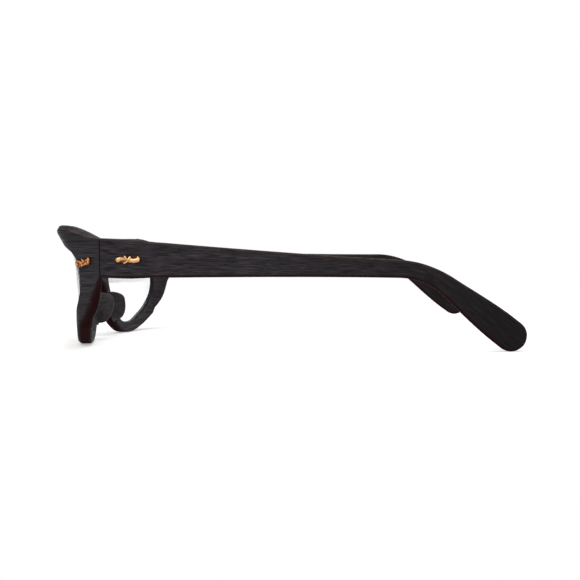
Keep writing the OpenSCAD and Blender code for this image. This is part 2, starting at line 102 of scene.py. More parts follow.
def bridgeRings(count, size, first=0):
    # four sided faces between neighbouring rings of points
    faces = []
    for k in range(count - 1):
        a, b = first + k * size, first + (k + 1) * size
        faces += [(a + i, a + (i + 1) % size, b + (i + 1) % size, b + i) for i in range(size)]
    return faces


def keepResult(piece):
    # what the modifiers make becomes the piece's own mesh
    graph = bpy.context.evaluated_depsgraph_get()
    result = bpy.data.meshes.new_from_object(piece.evaluated_get(graph), depsgraph=graph)
    piece.modifiers.clear()
    piece.data = result
    return piece


def addTree(piece, tree, values):
    # runs a geometry tree on the piece
    modifier = piece.modifiers.new(tree.name, "NODES")
    modifier.node_group = tree
    for socket in tree.interface.items_tree:
        if socket.item_type == "SOCKET" and socket.in_out == "INPUT" and socket.name in values:
            modifier[socket.identifier] = values[socket.name]
    return keepResult(piece)


def newTree(kind, name, inputs, outputs):
    # inputs and outputs name the kind of each socket; a number is a plain input's own value
    tree = bpy.data.node_groups.new(name, kind)
    for side, sockets in (("INPUT", inputs), ("OUTPUT", outputs)):
        for label, value in sockets.items():
            plain = isinstance(value, float)
            socketType = "NodeSocket" + ("Float" if plain else value)
            socket = tree.interface.new_socket(label, in_out=side, socket_type=socketType)
            if plain:
                socket.default_value = value
    return tree, tree.nodes.new("NodeGroupInput").outputs, tree.nodes.new("NodeGroupOutput")


def newShapeTree(name, inputs):
    inputs = {"Geometry": "Geometry", **inputs, "Finish": "Material"}
    return newTree("GeometryNodeTree", name, inputs, {"Geometry": "Geometry"})


def closeShapeTree(tree, given, result, last):
    whole = node(tree, "GeometryNodeRealizeInstances", {0: last.outputs[0]})
    finish = node(tree, "GeometryNodeSetMaterial", {"Geometry": whole.outputs[0], "Material": given["Finish"]})
    feed(tree, result, {0: finish.outputs[0]})
    return tree


def feed(tree, target, values):
    # an output is linked to the input, anything else is set on it
    for label, value in values.items():
        if isinstance(value, bpy.types.NodeSocket):
            tree.links.new(value, target.inputs[label])
        else:
            target.inputs[label].default_value = value
    return target


def node(tree, kind, values=None, **settings):
    made = tree.nodes.new(kind)
    for label, value in settings.items():
        setattr(made, label, value)
    return feed(tree, made, values or {})


def combine(tree, operation, a, b, clamped=False):
    return node(tree, "ShaderNodeMath", {0: a, 1: b}, operation=operation, use_clamp=clamped).outputs[0]


def multiply(tree, a, b, clamped=False):
    return combine(tree, "MULTIPLY", a, b, clamped)


def noise(tree, at, scale, detail, roughness=0.5, distortion=0.0):
    values = {"Vector": at, "Scale": scale, "Detail": detail, "Roughness": roughness, "Distortion": distortion}
    return node(tree, "ShaderNodeTexNoise", values).outputs["Fac"]


def remap(tree, value, fromMin, fromMax, toMin=0.0, toMax=1.0):
    values = {"Value": value, "From Min": fromMin, "From Max": fromMax, "To Min": toMin, "To Max": toMax}
    return node(tree, "ShaderNodeMapRange", values).outputs[0]


def stretch(tree, at, length, width):
    # draws a pattern out along the first axis
    along, wide = (combine(tree, "DIVIDE", 1.0, size) for size in (length, width))
    scale = node(tree, "ShaderNodeCombineXYZ", {0: along, 1: wide, 2: wide}).outputs[0]
    return node(tree, "ShaderNodeVectorMath", {0: at, 1: scale}, operation="MULTIPLY").outputs[0]


def objectPlace(tree):
    return node(tree, "ShaderNodeTexCoord").outputs["Object"]


def partOf(tree, vector, letter):
    return node(tree, "ShaderNodeSeparateXYZ", {0: vector}).outputs[letter]


def upness(tree):
    # 1 on faces that look up, -1 on faces that look down
    return partOf(tree, node(tree, "ShaderNodeNewGeometry").outputs["Normal"], "Z")


def pointMark(tree, label):
    return node(tree, "ShaderNodeAttribute", attribute_name=label).outputs


def bumpFrom(tree, height, strength, distance):
    return node(tree, "ShaderNodeBump", {"Height": height, "Strength": strength, "Distance": distance}).outputs[0]


# Shared effects: each is a group that gives out masks and heights only.
def makeGrainGroup():
    # long fine streaks with wider bands and a few bright scratches, drawn out along the first axis
    group, given, result = newTree(
        "ShaderNodeTree", "BrushedGrain",
        {"Vector": "Vector", "Streak Length": 9.0, "Streak Width": 0.22, "Bands": 0.35},
        {"Streaks": "Float", "Bands": "Float", "Scratches": "Float", "Height": "Float"})
    at = stretch(group, given["Vector"], given["Streak Length"], given["Streak Width"])
    streaks = remap(group, noise(group, at, 1.0, 5.0, 0.62, 0.15), 0.37, 0.65)
    bands = remap(group, noise(group, at, 0.28, 3.0, 0.5, 0.3), 0.35, 0.65)
    scratches = remap(group, noise(group, at, 1.9, 2.0, 0.5, 0.05), 0.63, 0.74)
    raised = combine(group, "ADD", streaks, multiply(group, bands, given["Bands"]))
    height = combine(group, "ADD", raised, multiply(group, scratches, -0.5))
    feed(group, result, {"Streaks": streaks, "Bands": bands, "Scratches": scratches, "Height": height})
    return group


def makeWearGroup():
    # worn edges: the mark on the edge, broken up by noise
    group, given, result = newTree(
        "ShaderNodeTree", "WornEdge",
        {"Edge": 0.0, "Vector": "Vector", "Patch Size": 2.0, "Amount": 0.6}, {"Wear": "Float"})
    patches = noise(group, given["Vector"], combine(group, "DIVIDE", 1.0, given["Patch Size"]), 4.0, 0.65)
    onEdge = multiply(group, remap(group, patches, 0.36, 0.62), given["Edge"])
    feed(group, result, {"Wear": multiply(group, onEdge, given["Amount"], True)})
    return group


def makeDustGroup():
    # pale specks, most of them on faces that look up
    group, given, result = newTree(
        "ShaderNodeTree", "FineDust", {"Speck Size": 0.0002, "Amount": 0.3}, {"Dust": "Float"})
    specks = noise(group, objectPlace(group), combine(group, "DIVIDE", 1.0, given["Speck Size"]), 3.0, 0.7)
    settled = remap(group, upness(group), -0.3, 0.9, 0.08, 1.0)
    both = multiply(group, remap(group, specks, 0.6, 0.74), settled)
    feed(group, result, {"Dust": multiply(group, both, given["Amount"], True)})
    return group


brushedGrain = makeGrainGroup()
wornEdge = makeWearGroup()
fineDust = makeDustGroup()


def useGroup(tree, group, values):
    made = tree.nodes.new("ShaderNodeGroup")
    made.node_tree = group
    return feed(tree, made, values).outputs


def layColours(tree, base, layers):
    # each layer is a mask and the colour that shows where the mask is 1
    colour = base + (1.0,)
    for mask, over in layers:
        values = {"Factor": mask, 6: colour, 7: over + (1.0,)}
        colour = node(tree, "ShaderNodeMix", values, data_type="RGBA").outputs[2]
    return colour


def newMaterial(name, plain):
    material = bpy.data.materials.new(name)
    material.use_nodes = True
    tree = material.node_tree
    return material, tree, feed(tree, tree.nodes["Principled BSDF"], plain)


charcoal = {
    "dark": (0.006, 0.0054, 0.0068), "light": (0.053, 0.049, 0.0585), "band": (0.014, 0.0105, 0.0115),
    # the cut colour paints a red reflection on cut faces that look down
    "worn": (0.074, 0.058, 0.047), "cut": (0.013, 0.001, 0.001), "dust": (0.11, 0.105, 0.105),
    # painted shade that darkens the temples towards the tip: its colour and reach
    "paintedTipShade": (0.0055, 0.004, 0.0045), "paintedTipShadeMost": 0.0, "paintedTipShadeFrom": 0.0, "paintedTipShadeTo": 70.0,
    "bump": 0.5, "bumpDepth": 0.07, "wear": 0.62, "wearPatch": 2.2, "dustAmount": 0.3, "speck": 0.22,
    "shine": 0.05, "bands": 0.4, "bandShare": 0.55, "scratchShare": 0.35, "redReflectionShare": 0.95,
}


def makeCharcoal(name, streakLength, streakWidth, roughness, look):
    # brushed dark acetate: streaks along the part, brown edge wear drawn only on bevels that face up (partly painted
    # light on the top bevels), a painted red-brown reflection on the cut faces that look down, and painted shade
    # towards the temple tips
    material, tree, shader = newMaterial(name, {"Roughness": roughness, "Specular IOR Level": look["shine"]})
    grainAt = pointMark(tree, "grain")["Vector"]
    grain = useGroup(tree, brushedGrain, {
        "Vector": grainAt, "Streak Length": streakLength, "Streak Width": streakWidth, "Bands": look["bands"]})
    wear = useGroup(tree, wornEdge, {
        "Vector": grainAt, "Edge": pointMark(tree, "edge")["Fac"], "Patch Size": look["wearPatch"],
        "Amount": look["wear"]})["Wear"]
    dust = useGroup(tree, fineDust, {"Speck Size": look["speck"] * mm, "Amount": look["dustAmount"]})["Dust"]
    up = upness(tree)
    # painted red reflection on the cut faces that look down
    downRedReflection = multiply(tree, pointMark(tree, "cut")["Fac"], remap(tree, up, 0.5, -0.05), True)
    cut = multiply(tree, downRedReflection, look["redReflectionShare"])
    # painted shade that darkens the temple towards its tip
    paintedTipShade = remap(tree, partOf(tree, objectPlace(tree), "Y"), look["paintedTipShadeFrom"] * mm, look["paintedTipShadeTo"] * mm,
                    0.0, look["paintedTipShadeMost"])
    rough = remap(tree, grain["Streaks"], 0.0, 1.0, roughness + 0.1, roughness - 0.1)
    cutRough = multiply(tree, cut, 0.95)    # cut faces are left duller
    colour = layColours(tree, look["dark"], [
        (grain["Streaks"], look["light"]),
        (multiply(tree, grain["Bands"], look["bandShare"]), look["band"]),
        (multiply(tree, grain["Scratches"], look["scratchShare"]), look["dust"]),
        (paintedTipShade, look["paintedTipShade"]),    # painted shade, darker towards the tip
        # painted red reflection on the cut faces that look down
        (cut, look["cut"]),
        # edge wear drawn only on bevels that face up: real wear, with painted light on the top bevels
        (multiply(tree, wear, remap(tree, up, 0.0, 0.6, 0.03, 1.0), True), look["worn"]),
        (dust, look["dust"]),
    ])
    feed(tree, shader, {
        "Base Color": colour, "Roughness": combine(tree, "MAXIMUM", rough, cutRough),
        "Normal": bumpFrom(tree, grain["Height"], look["bump"], look["bumpDepth"] * mm)})
    return material


frontFinish = makeCharcoal("ribbed_charcoal_front", 12.0, 0.32, 0.56, charcoal)
templeFinish = makeCharcoal("brushed_charcoal_temple", 5.5, 0.34, 0.55, {
    **charcoal, "paintedTipShadeMost": 0.8, "light": (0.0525, 0.046, 0.0525), "worn": (0.072, 0.047, 0.031), "wear": 0.72})
# the pads are the same charcoal in lighter tones: a painted sheen
padFinish = makeCharcoal("satin_charcoal_pad", 6.0, 0.3, 0.4, {
    **charcoal, "dark": (0.018, 0.0165, 0.018), "light": (0.07, 0.061, 0.063), "bump": 0.12, "wear": 0.2,
    "dustAmount": 0.1})
print("materials: charcoal for front, temples and pads")


# The front: one skin lofted round both lens openings.
front = {
    "halfWidth": 67, "baseRadius": 170, "facetLength": 12.5, "facetAngle": 51, "cornerRadius": 8,
    "rimThickness": 5, "browThicker": 0.4, "endThickness": 4.5, "lean": 5, "browFlare": 5, "flareFrom": 28,
    "templeLevel": 30, "templeHeight": 12.7, "wingTop": 41, "bridgeTop": 32, "bridgeBottom": 23.5,
    "browBevel": 1.7, "rimBevel": 0.9, "seamBevel": 0.25, "softEdge": 0.22, "lensBottom": 4.4, "nose": 11.6,
    "turnFrom": 11.5, "turnOver": 13, "plateSunk": 0.03, "plateTo": 12.2, "plateUp": 6, "plateFade": (1.6, 1.8),
    "plateSkin": 0.25, "bevelRunOut": 3.5, "hingeBevel": 0.35, "hingeBevelFrom": 2.5, "hingeBevelOver": 2,
    "endTrim": (0.2, 0.3), "grooveDepth": 0.9, "grooveWidth": 1.8, "grooveEdge": 0.08, "markFade": 0.3,
    "thickenOver": 8, "stepsAlong": (60, 26, 14, 150, 16), "stepsAcross": 8,
    "filing": 0.035, "filingLength": 7.0, "filingWidth": 1.1, "weld": 0.004,
}


def clamp(v):
    return max(0.0, min(1.0, v))


def easeIn(t):
    t = clamp(t)
    return t * t * (3 - 2 * t)


def planSizes(f):
    facet = math.radians(f["facetAngle"])
    r, c = f["baseRadius"], f["cornerRadius"]
    turn = math.asin((f["halfWidth"] - c * math.sin(facet) - f["facetLength"] * math.cos(facet)) / (r - c))
    arc = r * turn
    start = arc + c * (facet - turn)
    corner = c * (math.cos(turn) - math.cos(facet))
    frontY = -(r * (1 - math.cos(turn)) + corner + f["facetLength"] * math.sin(facet))
    seam = start + f["facetLength"]
    return {"facet": facet, "turn": turn, "arc": arc, "start": start, "seam": seam, "frontY": frontY}


plan = planSizes(front)


def heading(s):
    if s < plan["arc"]:
        return s / front["baseRadius"]
    return min(plan["facet"], plan["turn"] + (s - plan["arc"]) / front["cornerRadius"])


def planPoint(s):
    # arc over the lenses, tight corner, then a flat facet that ends at the seam
    r, c, h = front["baseRadius"], front["cornerRadius"], heading(s)
    if s < plan["arc"]:
        return r * math.sin(h), plan["frontY"] + r * (1 - math.cos(h))
    if s < plan["start"]:
        x = r * math.sin(plan["turn"]) + c * (math.sin(h) - math.sin(plan["turn"]))
        y = plan["frontY"] + r * (1 - math.cos(plan["turn"])) + c * (math.cos(plan["turn"]) - math.cos(h))
        return x, y
    left = plan["seam"] - s
    return front["halfWidth"] - left * math.cos(plan["facet"]), -left * math.sin(plan["facet"])


def facetShare(s):
    return clamp((s - plan["start"]) / front["facetLength"])


def onFront(s, z, d):
    # s along the plan curve, z height, d depth behind the front face
    x, y = planPoint(s)
    share = facetShare(s)
    turned = share * easeIn((z - front["turnFrom"]) / front["turnOver"])
    angle = heading(s) + (math.pi / 2 - plan["facet"]) * turned
    flareShare = max(0.0, z - front["flareFrom"]) / (front["wingTop"] - front["flareFrom"])
    flare = front["browFlare"] * flareShare ** 1.5
    lean = (1 - share) * (-(z - front["templeLevel"]) * math.tan(math.radians(front["lean"])) - flare)
    return (x - d * math.sin(angle), y + d * math.cos(angle) + lean, z)


def rimDepth(s, z):
    share = facetShare(s)
    thicker = front["browThicker"] * clamp((z - front["flareFrom"]) / front["thickenOver"]) * (1 - share)
    return front["rimThickness"] + thicker + (front["endThickness"] - front["rimThickness"]) * share


def innerFace():
    # line of the end piece's inner face, from the seam to the facet's start
    seam = Vector((front["halfWidth"] - front["endThickness"], 0, 0))
    corner = Vector(onFront(plan["start"], front["templeLevel"], front["rimThickness"]))
    along = Vector((corner.x - seam.x, corner.y - seam.y, 0)).normalized()
    return seam, Vector((along.y, -along.x, 0)), along


def letIn(point):
    # the inner face runs flat round the hinge plate
    seam, out, along = innerFace()
    gap = Vector(point) - seam
    fadeAlong, fadeUp = front["plateFade"]
    besidePlate = easeIn((front["plateTo"] - gap.dot(along)) / fadeAlong)
    share = besidePlate * easeIn((front["plateUp"] - abs(point[2] - front["templeLevel"])) / fadeUp)
    return Vector(point) + out * (front["plateSunk"] - gap.dot(out)) * share


def smoothRun(keys, count):
    # Catmull-Rom through the keys; the ends run straight out
    n = len(keys) - 1
    run = []
    for k in range(count):
        t = k / count * n
        i = min(n - 1, int(t))
        u = t - i
        b, c = keys[i], keys[i + 1]
        a = keys[i - 1] if i else tuple(2 * p - q for p, q in zip(b, c))
        d = keys[i + 2] if i + 2 <= n else tuple(2 * p - q for p, q in zip(c, b))
        run.append(tuple(
            0.5 * (2 * q + (r - p) * u + (2 * p - 5 * q + 4 * r - w) * u * u + (3 * q - p - 3 * r + w) * u ** 3)
            for p, q, r, w in zip(a, b, c, d)))
    return run


def rimKeys():
    # outline and lens opening in five matched stretches: brow, wing, seam, lower rim, arch
    seam, top, level = plan["seam"], front["wingTop"], front["templeLevel"]
    high = level + front["templeHeight"] / 2 - front["endTrim"][0]
    low = level - front["templeHeight"] / 2 + front["endTrim"][1]
    nose, outer = front["nose"], plan["start"] + 0.3
    wing, bottom = seam - front["facetLength"], front["lensBottom"]
    bridge, arch = front["bridgeTop"], front["bridgeBottom"]

    def span(t):
        return nose + (outer - nose) * t

    outline = [
        [(0, bridge), (9, bridge + 1.5), (span(0.25), top - 3.6), (span(0.62), top - 0.85), (wing, top)],
        [(wing, top), (wing + 3.5, top - 0.9), (seam, high)],
        [(seam, high), (seam, low)],
        [(seam, low), (seam - 3.4, 19), (seam - 7.6, 13.6), (seam - 12, 9.75), (seam - 16.5, 7.1),
         (seam - 27.5, 2.4), (span(0.47), 0.03), (span(0.24), 1.2), (14, 6.6), (10, 13), (6.6, 19.5), (0, arch)],
        [(0, arch), (0, bridge)],
    ]
    opening = [
        [(span(0.03), 29.2), (span(0.11), 31.2), (span(0.29), top - 8.6), (span(0.66), top - 7),
         (span(0.9), top - 7.8)],
        [(span(0.9), top - 7.8), (span(0.932), top - 8.4), (span(0.957), top - 9.4), (span(0.986), top - 12)],
        [(span(0.986), top - 12), (span(0.996), 26.9), (outer, 24.5)],
        [(outer, 24.5), (span(0.985), 19.6), (span(0.93), 14.7), (span(0.81), 9.9), (span(0.65), 6.3),
         (span(0.495), bottom), (span(0.29), bottom + 0.8), (span(0.14), 9.4), (span(0.06), 15), (nose + 0.4, 20.6),
         (nose, 24.6)],
        [(nose, 24.6), (span(0.03), 29.2)],
    ]
    return outline, opening, (span(0.495), 18.5)


outlineKeys, openingKeys, lensCentre = rimKeys()
counts = front["stepsAlong"]
outline = [p for keys, n in zip(outlineKeys, counts) for p in smoothRun(keys, n)]
opening = [p for keys, n in zip(openingKeys, counts) for p in smoothRun(keys, n)]


def softCorner(before, corner, after, radius, steps):
    # the corner as a short curve between its two sides
    def toward(other):
        gap = math.dist(corner, other)
        share = min(radius, 0.45 * gap) / gap
        return tuple(c + (o - c) * share for c, o in zip(corner, other))
    a, b = toward(before), toward(after)
    curve = []
    for k in range(steps + 1):
        t = k / steps
        curve.append(tuple((1 - t) ** 2 * p + 2 * t * (1 - t) * q + t * t * r for p, q, r in zip(a, corner, b)))
    return curve


def across(a, b, steps, margin):
    # points between two ends, with one close to each end so that an edge mark fades quickly
    gap = math.dist(a, b)
    near = min(margin / gap, 0.3) if gap else 0.3
    shares = [near] + [near + (1 - 2 * near) * k / steps for k in range(1, steps)] + [1 - near]
    return [tuple(p + (q - p) * t for p, q in zip(a, b)) for t in shares]


def marked(run, edge, cut):
    return [(m, d, edge, cut) for m, d in run]


def rimSection(p, q, browEdge, isMiddle):
    # points as (m along the section, depth, edge mark, cut mark), round the whole section
    length = math.dist(p, q)
    deepP, deepQ = rimDepth(*p), rimDepth(*q)
    fromSeam = clamp((plan["seam"] - q[0]) / front["bevelRunOut"])    # crisp edge at the seam

    def bevel(width):
        return front["seamBevel"] + (width - front["seamBevel"]) * fromSeam

    rim = front["rimBevel"]
    topDepth, backDepth = bevel(front["browBevel"] if browEdge else rim), bevel(rim)
    besideHinge = easeIn((p[0] - plan["start"] + front["hingeBevelFrom"]) / front["hingeBevelOver"])
    innerDepth = rim * (1 - (1 - front["hingeBevel"]) * besideHinge)
    ease, top, back, inner = (min(w, 0.4 * length) for w in (rim, topDepth, backDepth, innerDepth))
    half, groove = front["rimThickness"] / 2, front["grooveWidth"] / 2

    def depthAt(m):
        return rimDepth(*(a + (b - a) * m / length for a, b in zip(p, q)))

    corners = [(ease, 0), (length - top, 0), (length, topDepth), (length, deepQ - backDepth),
               (length - back, depthAt(length - back)), (inner, depthAt(inner)), (0, deepP - innerDepth),
               (0, half + groove), (front["grooveDepth"], half), (0, half - groove), (0, rim)]
    soft = [softCorner(corners[i - 1], corner, corners[(i + 1) % len(corners)],
                       front["grooveEdge" if i in (7, 8, 9) else "softEdge"], 2) for i, corner in enumerate(corners)]
    steps, fade = front["stepsAcross"], front["markFade"]
    ring = marked(soft[0], 1, 0) + marked(across(soft[0][-1], soft[1][0], steps, fade), 0, 0)
    middleFrom = len(ring)
    ring += marked(soft[1], 1, 0.3) + marked(soft[2], 1, 0.9)
    ring += marked(across(soft[2][-1], soft[3][0], 2, fade), 0, 1)
    ring += marked(soft[3], 0.8, 0.9) + marked(soft[4], 0.8, 0)
    middleTo = len(ring)
    if isMiddle:
        span = middleTo - middleFrom - 1
        for k in range(span + 1):
            ring[middleFrom + k] = (length, deepQ * k / span, 0, 0)
    ring += [(m, depthAt(m), 0, 0) for m, d in across(soft[4][-1], soft[5][0], steps, fade)]
    ring += marked(soft[5], 0.6, 0) + marked(soft[6], 0.6, 1)
    ring += marked(soft[7] + soft[8] + soft[9], 0, 1) + marked(soft[10], 0.6, 1)
    return ring, middleFrom, middleTo - 1


def buildFront():
    stations = len(outline)
    archFirst = stations - counts[4]
    browEnd = counts[0] + counts[1]
    points, grainAt, edge, cut = [], [], [], []
    middle = (0, 0)
    for i, (p, q) in enumerate(zip(opening, outline)):
        isMiddle = i >= archFirst or i == 0
        ring, low, high = rimSection(p, q, i < browEnd, isMiddle)
        middle = (low, high)
        length = math.dist(p, q)
        for m, d, e, c in ring:
            s, z = (a + (b - a) * m / length for a, b in zip(p, q))
            point = onFront(s, z, d)
            points.append(tuple(letIn(point)) if d > rimDepth(s, z) - front["plateSkin"] else point)
            grainAt.append((s, d, z))
            edge.append(e)
            cut.append(c)
    size = len(points) // stations
    faces = []
    for i in range(stations):
        j = (i + 1) % stations
        for k in range(size):
            if i >= archFirst and middle[0] <= k < middle[1]:
                continue   # open towards the other half
            k2 = (k + 1) % size
            faces.append((i * size + k, j * size + k, j * size + k2, i * size + k2))
    n = len(points)
    points += [(-x, y, z) for x, y, z in points]
    faces += [tuple(n + v for v in reversed(f)) for f in faces]
    grainAt += [(-s - 0.01, d, z) for s, d, z in grainAt]
    marks = {"grain": grainAt, "edge": edge * 2, "cut": cut * 2}
    return makePiece("Front", points, faces, marks, front["weld"])


def makeFilingTree():
    # leaves the shallow uneven facets of hand filing along the grain, then sets the finish
    tree, given, result = newShapeTree("handFiling", {
        "Depth": "Float", "Length": "Float", "Width": "Float", "Seed": "Float"})
    grainAt = node(tree, "GeometryNodeInputNamedAttribute", {"Name": "grain"}, data_type="FLOAT_VECTOR")
    at = stretch(tree, grainAt.outputs["Attribute"], given["Length"], given["Width"])
    strokes = node(tree, "ShaderNodeTexNoise", {
        "Vector": at, "W": given["Seed"], "Scale": 1.0, "Detail": 1.5, "Roughness": 0.45}, noise_dimensions="4D")
    depth = multiply(tree, remap(tree, strokes.outputs["Fac"], 0.2, 0.8, -1.0, 0.0), given["Depth"])
    normal = node(tree, "GeometryNodeInputNormal").outputs["Normal"]
    push = node(tree, "ShaderNodeVectorMath", {0: normal, "Scale": depth}, operation="SCALE").outputs[0]
    moved = node(tree, "GeometryNodeSetPosition", {"Geometry": given["Geometry"], "Offset": push})
    return closeShapeTree(tree, given, result, moved)


handFiling = makeFilingTree()


def fileSurface(piece, values, seed, finish):
    return addTree(piece, handFiling, {
        "Depth": values["filing"] * mm, "Length": values["filingLength"], "Width": values["filingWidth"],
        "Seed": seed, "Finish": finish})


frontPiece = fileSurface(buildFront(), front, 3.0, frontFinish)
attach(frontPiece, "front")
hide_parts("front_frame")
print("front:", len(frontPiece.data.polygons), "faces")


# Temples: one section swept down the side profile.
temple = {
    "straight": 96, "bendRadius": 27, "tipAngle": 38, "fall": 2.1, "toeIn": 1.8, "height": 12.7, "waist": 5.7,
    "paddle": 10.2, "thick": 4.5, "thin": 3.2, "bevel": 0.7, "seamGap": 0.12, "liftFrom": 16, "endEase": 0.16,
    "taperFrom": 8, "taperTo": 20, "taperShare": 0.2, "taperPower": 1.35, "waistPast": 4, "paddlePast": 4,
    "paddleShort": 12, "tiltOver": 10, "tipThin": 0.55, "tipLeast": 0.04, "tipTurn": 88.5, "tipSteps": 22,
    "cornerSteps": 5, "flatSteps": 8, "cutSteps": 3, "markFade": 0.25, "lowerCornerRedMark": 0.8, "grainApart": 300,
    "frontSteps": [0.0, 0.18, 0.5], "stepLength": 0.6, "filing": 0.03, "filingLength": 9.0, "filingWidth": 1.3,
}
lifts = {"left": 0.0, "right": 3.3}


def sideProfile(t):
    fall, tip = math.radians(t["fall"]), math.radians(t["tipAngle"])
    level, r = front["templeLevel"], t["bendRadius"]
    bendY, bendZ = t["straight"] * math.cos(fall), level - t["straight"] * math.sin(fall)
    arc = r * (tip - fall)
    tipY = bendY + r * (math.sin(tip) - math.sin(fall))
    tipZ = bendZ - r * (math.cos(fall) - math.cos(tip))
    endRadius = t["paddle"] / 2
    total = t["straight"] + arc + endRadius + (tipZ - endRadius) / math.sin(tip)
    return {"fall": fall, "tip": tip, "bendY": bendY, "bendZ": bendZ, "arc": arc, "tipY": tipY, "tipZ": tipZ,
            "endRadius": endRadius, "total": total, "roundFrom": total - endRadius}


side = sideProfile(temple)


def fallAt(u):
    if u < temple["straight"]:
        return side["fall"]
    return min(side["tip"], side["fall"] + (u - temple["straight"]) / temple["bendRadius"])


def profilePoint(u):
    if u < temple["straight"]:
        return u * math.cos(side["fall"]), front["templeLevel"] - u * math.sin(side["fall"])
    if u < temple["straight"] + side["arc"]:
        r = temple["bendRadius"]
        return (side["bendY"] + r * (math.sin(fallAt(u)) - math.sin(side["fall"])),
                side["bendZ"] - r * (math.cos(side["fall"]) - math.cos(fallAt(u))))
    v = u - temple["straight"] - side["arc"]
    return side["tipY"] + v * math.cos(side["tip"]), side["tipZ"] - v * math.sin(side["tip"])


def halfHeight(u):
    # deep at the hinge, a waist at the bend, then the paddle of the tip
    waistAt, low = temple["straight"] + temple["waistPast"], temple["waist"] / 2
    start, end, share = temple["taperFrom"], temple["taperTo"], temple["taperShare"]
    if u < waistAt:
        if u < end:
            taper = 1 - share * easeIn((u - start) / (end - start))
        else:
            taper = (1 - share) * (1 - (u - end) / (waistAt - end)) ** temple["taperPower"]
        return low + (temple["height"] / 2 - low) * taper
    widened = easeIn((u - waistAt - temple["paddlePast"]) / (side["total"] - waistAt - temple["paddleShort"]))
    return low + (temple["paddle"] / 2 - low) * widened


def templeAxes():
    # out of the temple's face, and along it
    toe = math.radians(temple["toeIn"])
    return Vector((math.cos(toe), math.sin(toe), 0)), Vector((-math.sin(toe), math.cos(toe), 0))


def templeSection(halfUp, thick, bevel):
    # rounded rectangle as (across, up, edge mark, cut mark)
    b = min(bevel, halfUp * 0.6, thick * 0.3)
    corners = [(0, halfUp), (-thick, halfUp), (-thick, -halfUp), (0, -halfUp)]
    soft = [softCorner(corners[i - 1], corners[i], corners[(i + 1) % 4], b, temple["cornerSteps"]) for i in range(4)]
    ring = []
    for i in range(4):
        # the lower corners carry part of the cut mark, which gives them the painted red reflection
        ring += marked(soft[i], 1, temple["lowerCornerRedMark"] if i > 1 else 0)
        isCut = i in (0, 2)    # top and bottom faces are cut faces
        steps = temple["cutSteps" if isCut else "flatSteps"]
        ring += marked(across(soft[i][-1], soft[(i + 1) % 4][0], steps, temple["markFade"]), 0, int(isCut))
    return ring


def templeSteps():
    # close at the eased front end, even along the temple, then round the tip
    end, tipSteps = side["roundFrom"], temple["tipSteps"]
    first, n = temple["frontSteps"], int(end / temple["stepLength"])
    steps = first + [first[-1] + (end - first[-1]) * k / n for k in range(1, n + 1)]
    turns = [math.radians(k * temple["tipTurn"] / tipSteps) for k in range(1, tipSteps + 1)]
    return steps + [end + side["endRadius"] * math.sin(a) for a in turns]


def buildTemple(sideName):
    sign = signs[sideName]
    lift = math.tan(math.radians(lifts[sideName]))
    toe = math.tan(math.radians(temple["toeIn"]))
    points, grainAt, edge, cut = [], [], [], []
    steps = templeSteps()
    for u in steps:
        cy, cz = profilePoint(u)
        past = max(0, u - side["roundFrom"]) / side["endRadius"]
        roundShare = math.sqrt(max(0, 1 - past ** 2))
        tilt = fallAt(u) * min(1, u / temple["tiltOver"])
        full = temple["thick"] + (temple["thin"] - temple["thick"]) * min(1, u / temple["straight"])
        thick = full * (temple["tipThin"] + (1 - temple["tipThin"]) * roundShare)
        eased = temple["endEase"] if u == 0 else 0    # the front end is eased all round
        y0 = temple["seamGap"] + cy
        x0 = front["halfWidth"] - y0 * toe - (full - thick) / 2 - eased
        halfUp = halfHeight(u) * max(temple["tipLeast"], roundShare) - eased
        for x, up, e, c in templeSection(halfUp, thick - 2 * eased, temple["bevel"]):
            y = y0 + up * math.sin(tilt)
            z = cz + up * math.cos(tilt)
            points.append((sign * (x0 + x), y, z + max(0, y - temple["liftFrom"]) * lift))
            grainAt.append((u + (0 if sign > 0 else temple["grainApart"]), x, up))
            edge.append(e)
            cut.append(c)
    size = len(points) // len(steps)
    faces = bridgeRings(len(steps), size)
    faces += [tuple(range(size)), tuple(range(len(points) - size, len(points)))]
    marks = {"grain": grainAt, "edge": edge, "cut": cut}
    return makePiece(pieceName("temple", sideName), points, faces, marks)


for sideName in signs:
    piece = fileSurface(buildTemple(sideName), temple, 11.0 if sideName == "left" else 17.0, templeFinish)
    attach(piece, "temple_" + sideName)
    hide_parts("temple_" + sideName)
    print("temple", sideName + ":", len(piece.data.polygons), "faces")


# Lenses: clear, slightly bowed forward, with the ridge that sits in the groove of the rim.
lens = {"thickness": 1.6, "gap": -0.05, "ridge": 0.5, "bow": 0.5, "rings": (0.12, 0.3, 0.5, 0.68, 0.84, 0.95, 1.0)}


def makeLensFinish():
    material, tree, shader = newMaterial("clear_lens", {"IOR": 1.5, "Metallic": 0.0, "Transmission Weight": 1.0})
    smudge = noise(tree, objectPlace(tree), 90.0, 4.0, 0.7)
    rough = remap(tree, smudge, 0.5, 0.75, 0.01, 0.05)
    tint = layColours(tree, (0.985, 0.99, 0.992), [(rough, (0.95, 0.96, 0.965))])
    feed(tree, shader, {"Base Color": tint, "Roughness": rough})
    return material


def makeBevelFinish():
    # the ground, matt edge of a lens, painted dark as shade inside the groove of the rim
    material, tree, shader = newMaterial("ground_lens_bevel", {"Roughness": 0.8})
    grit = noise(tree, objectPlace(tree), 4000.0, 3.0)
    colour = layColours(tree, (0.014, 0.013, 0.013), [(grit, (0.03, 0.028, 0.028))])
    feed(tree, shader, {"Base Color": colour, "Normal": bumpFrom(tree, grit, 0.2, 0.00002)})
    return material


lensFinish = makeLensFinish()
bevelFinish = makeBevelFinish()


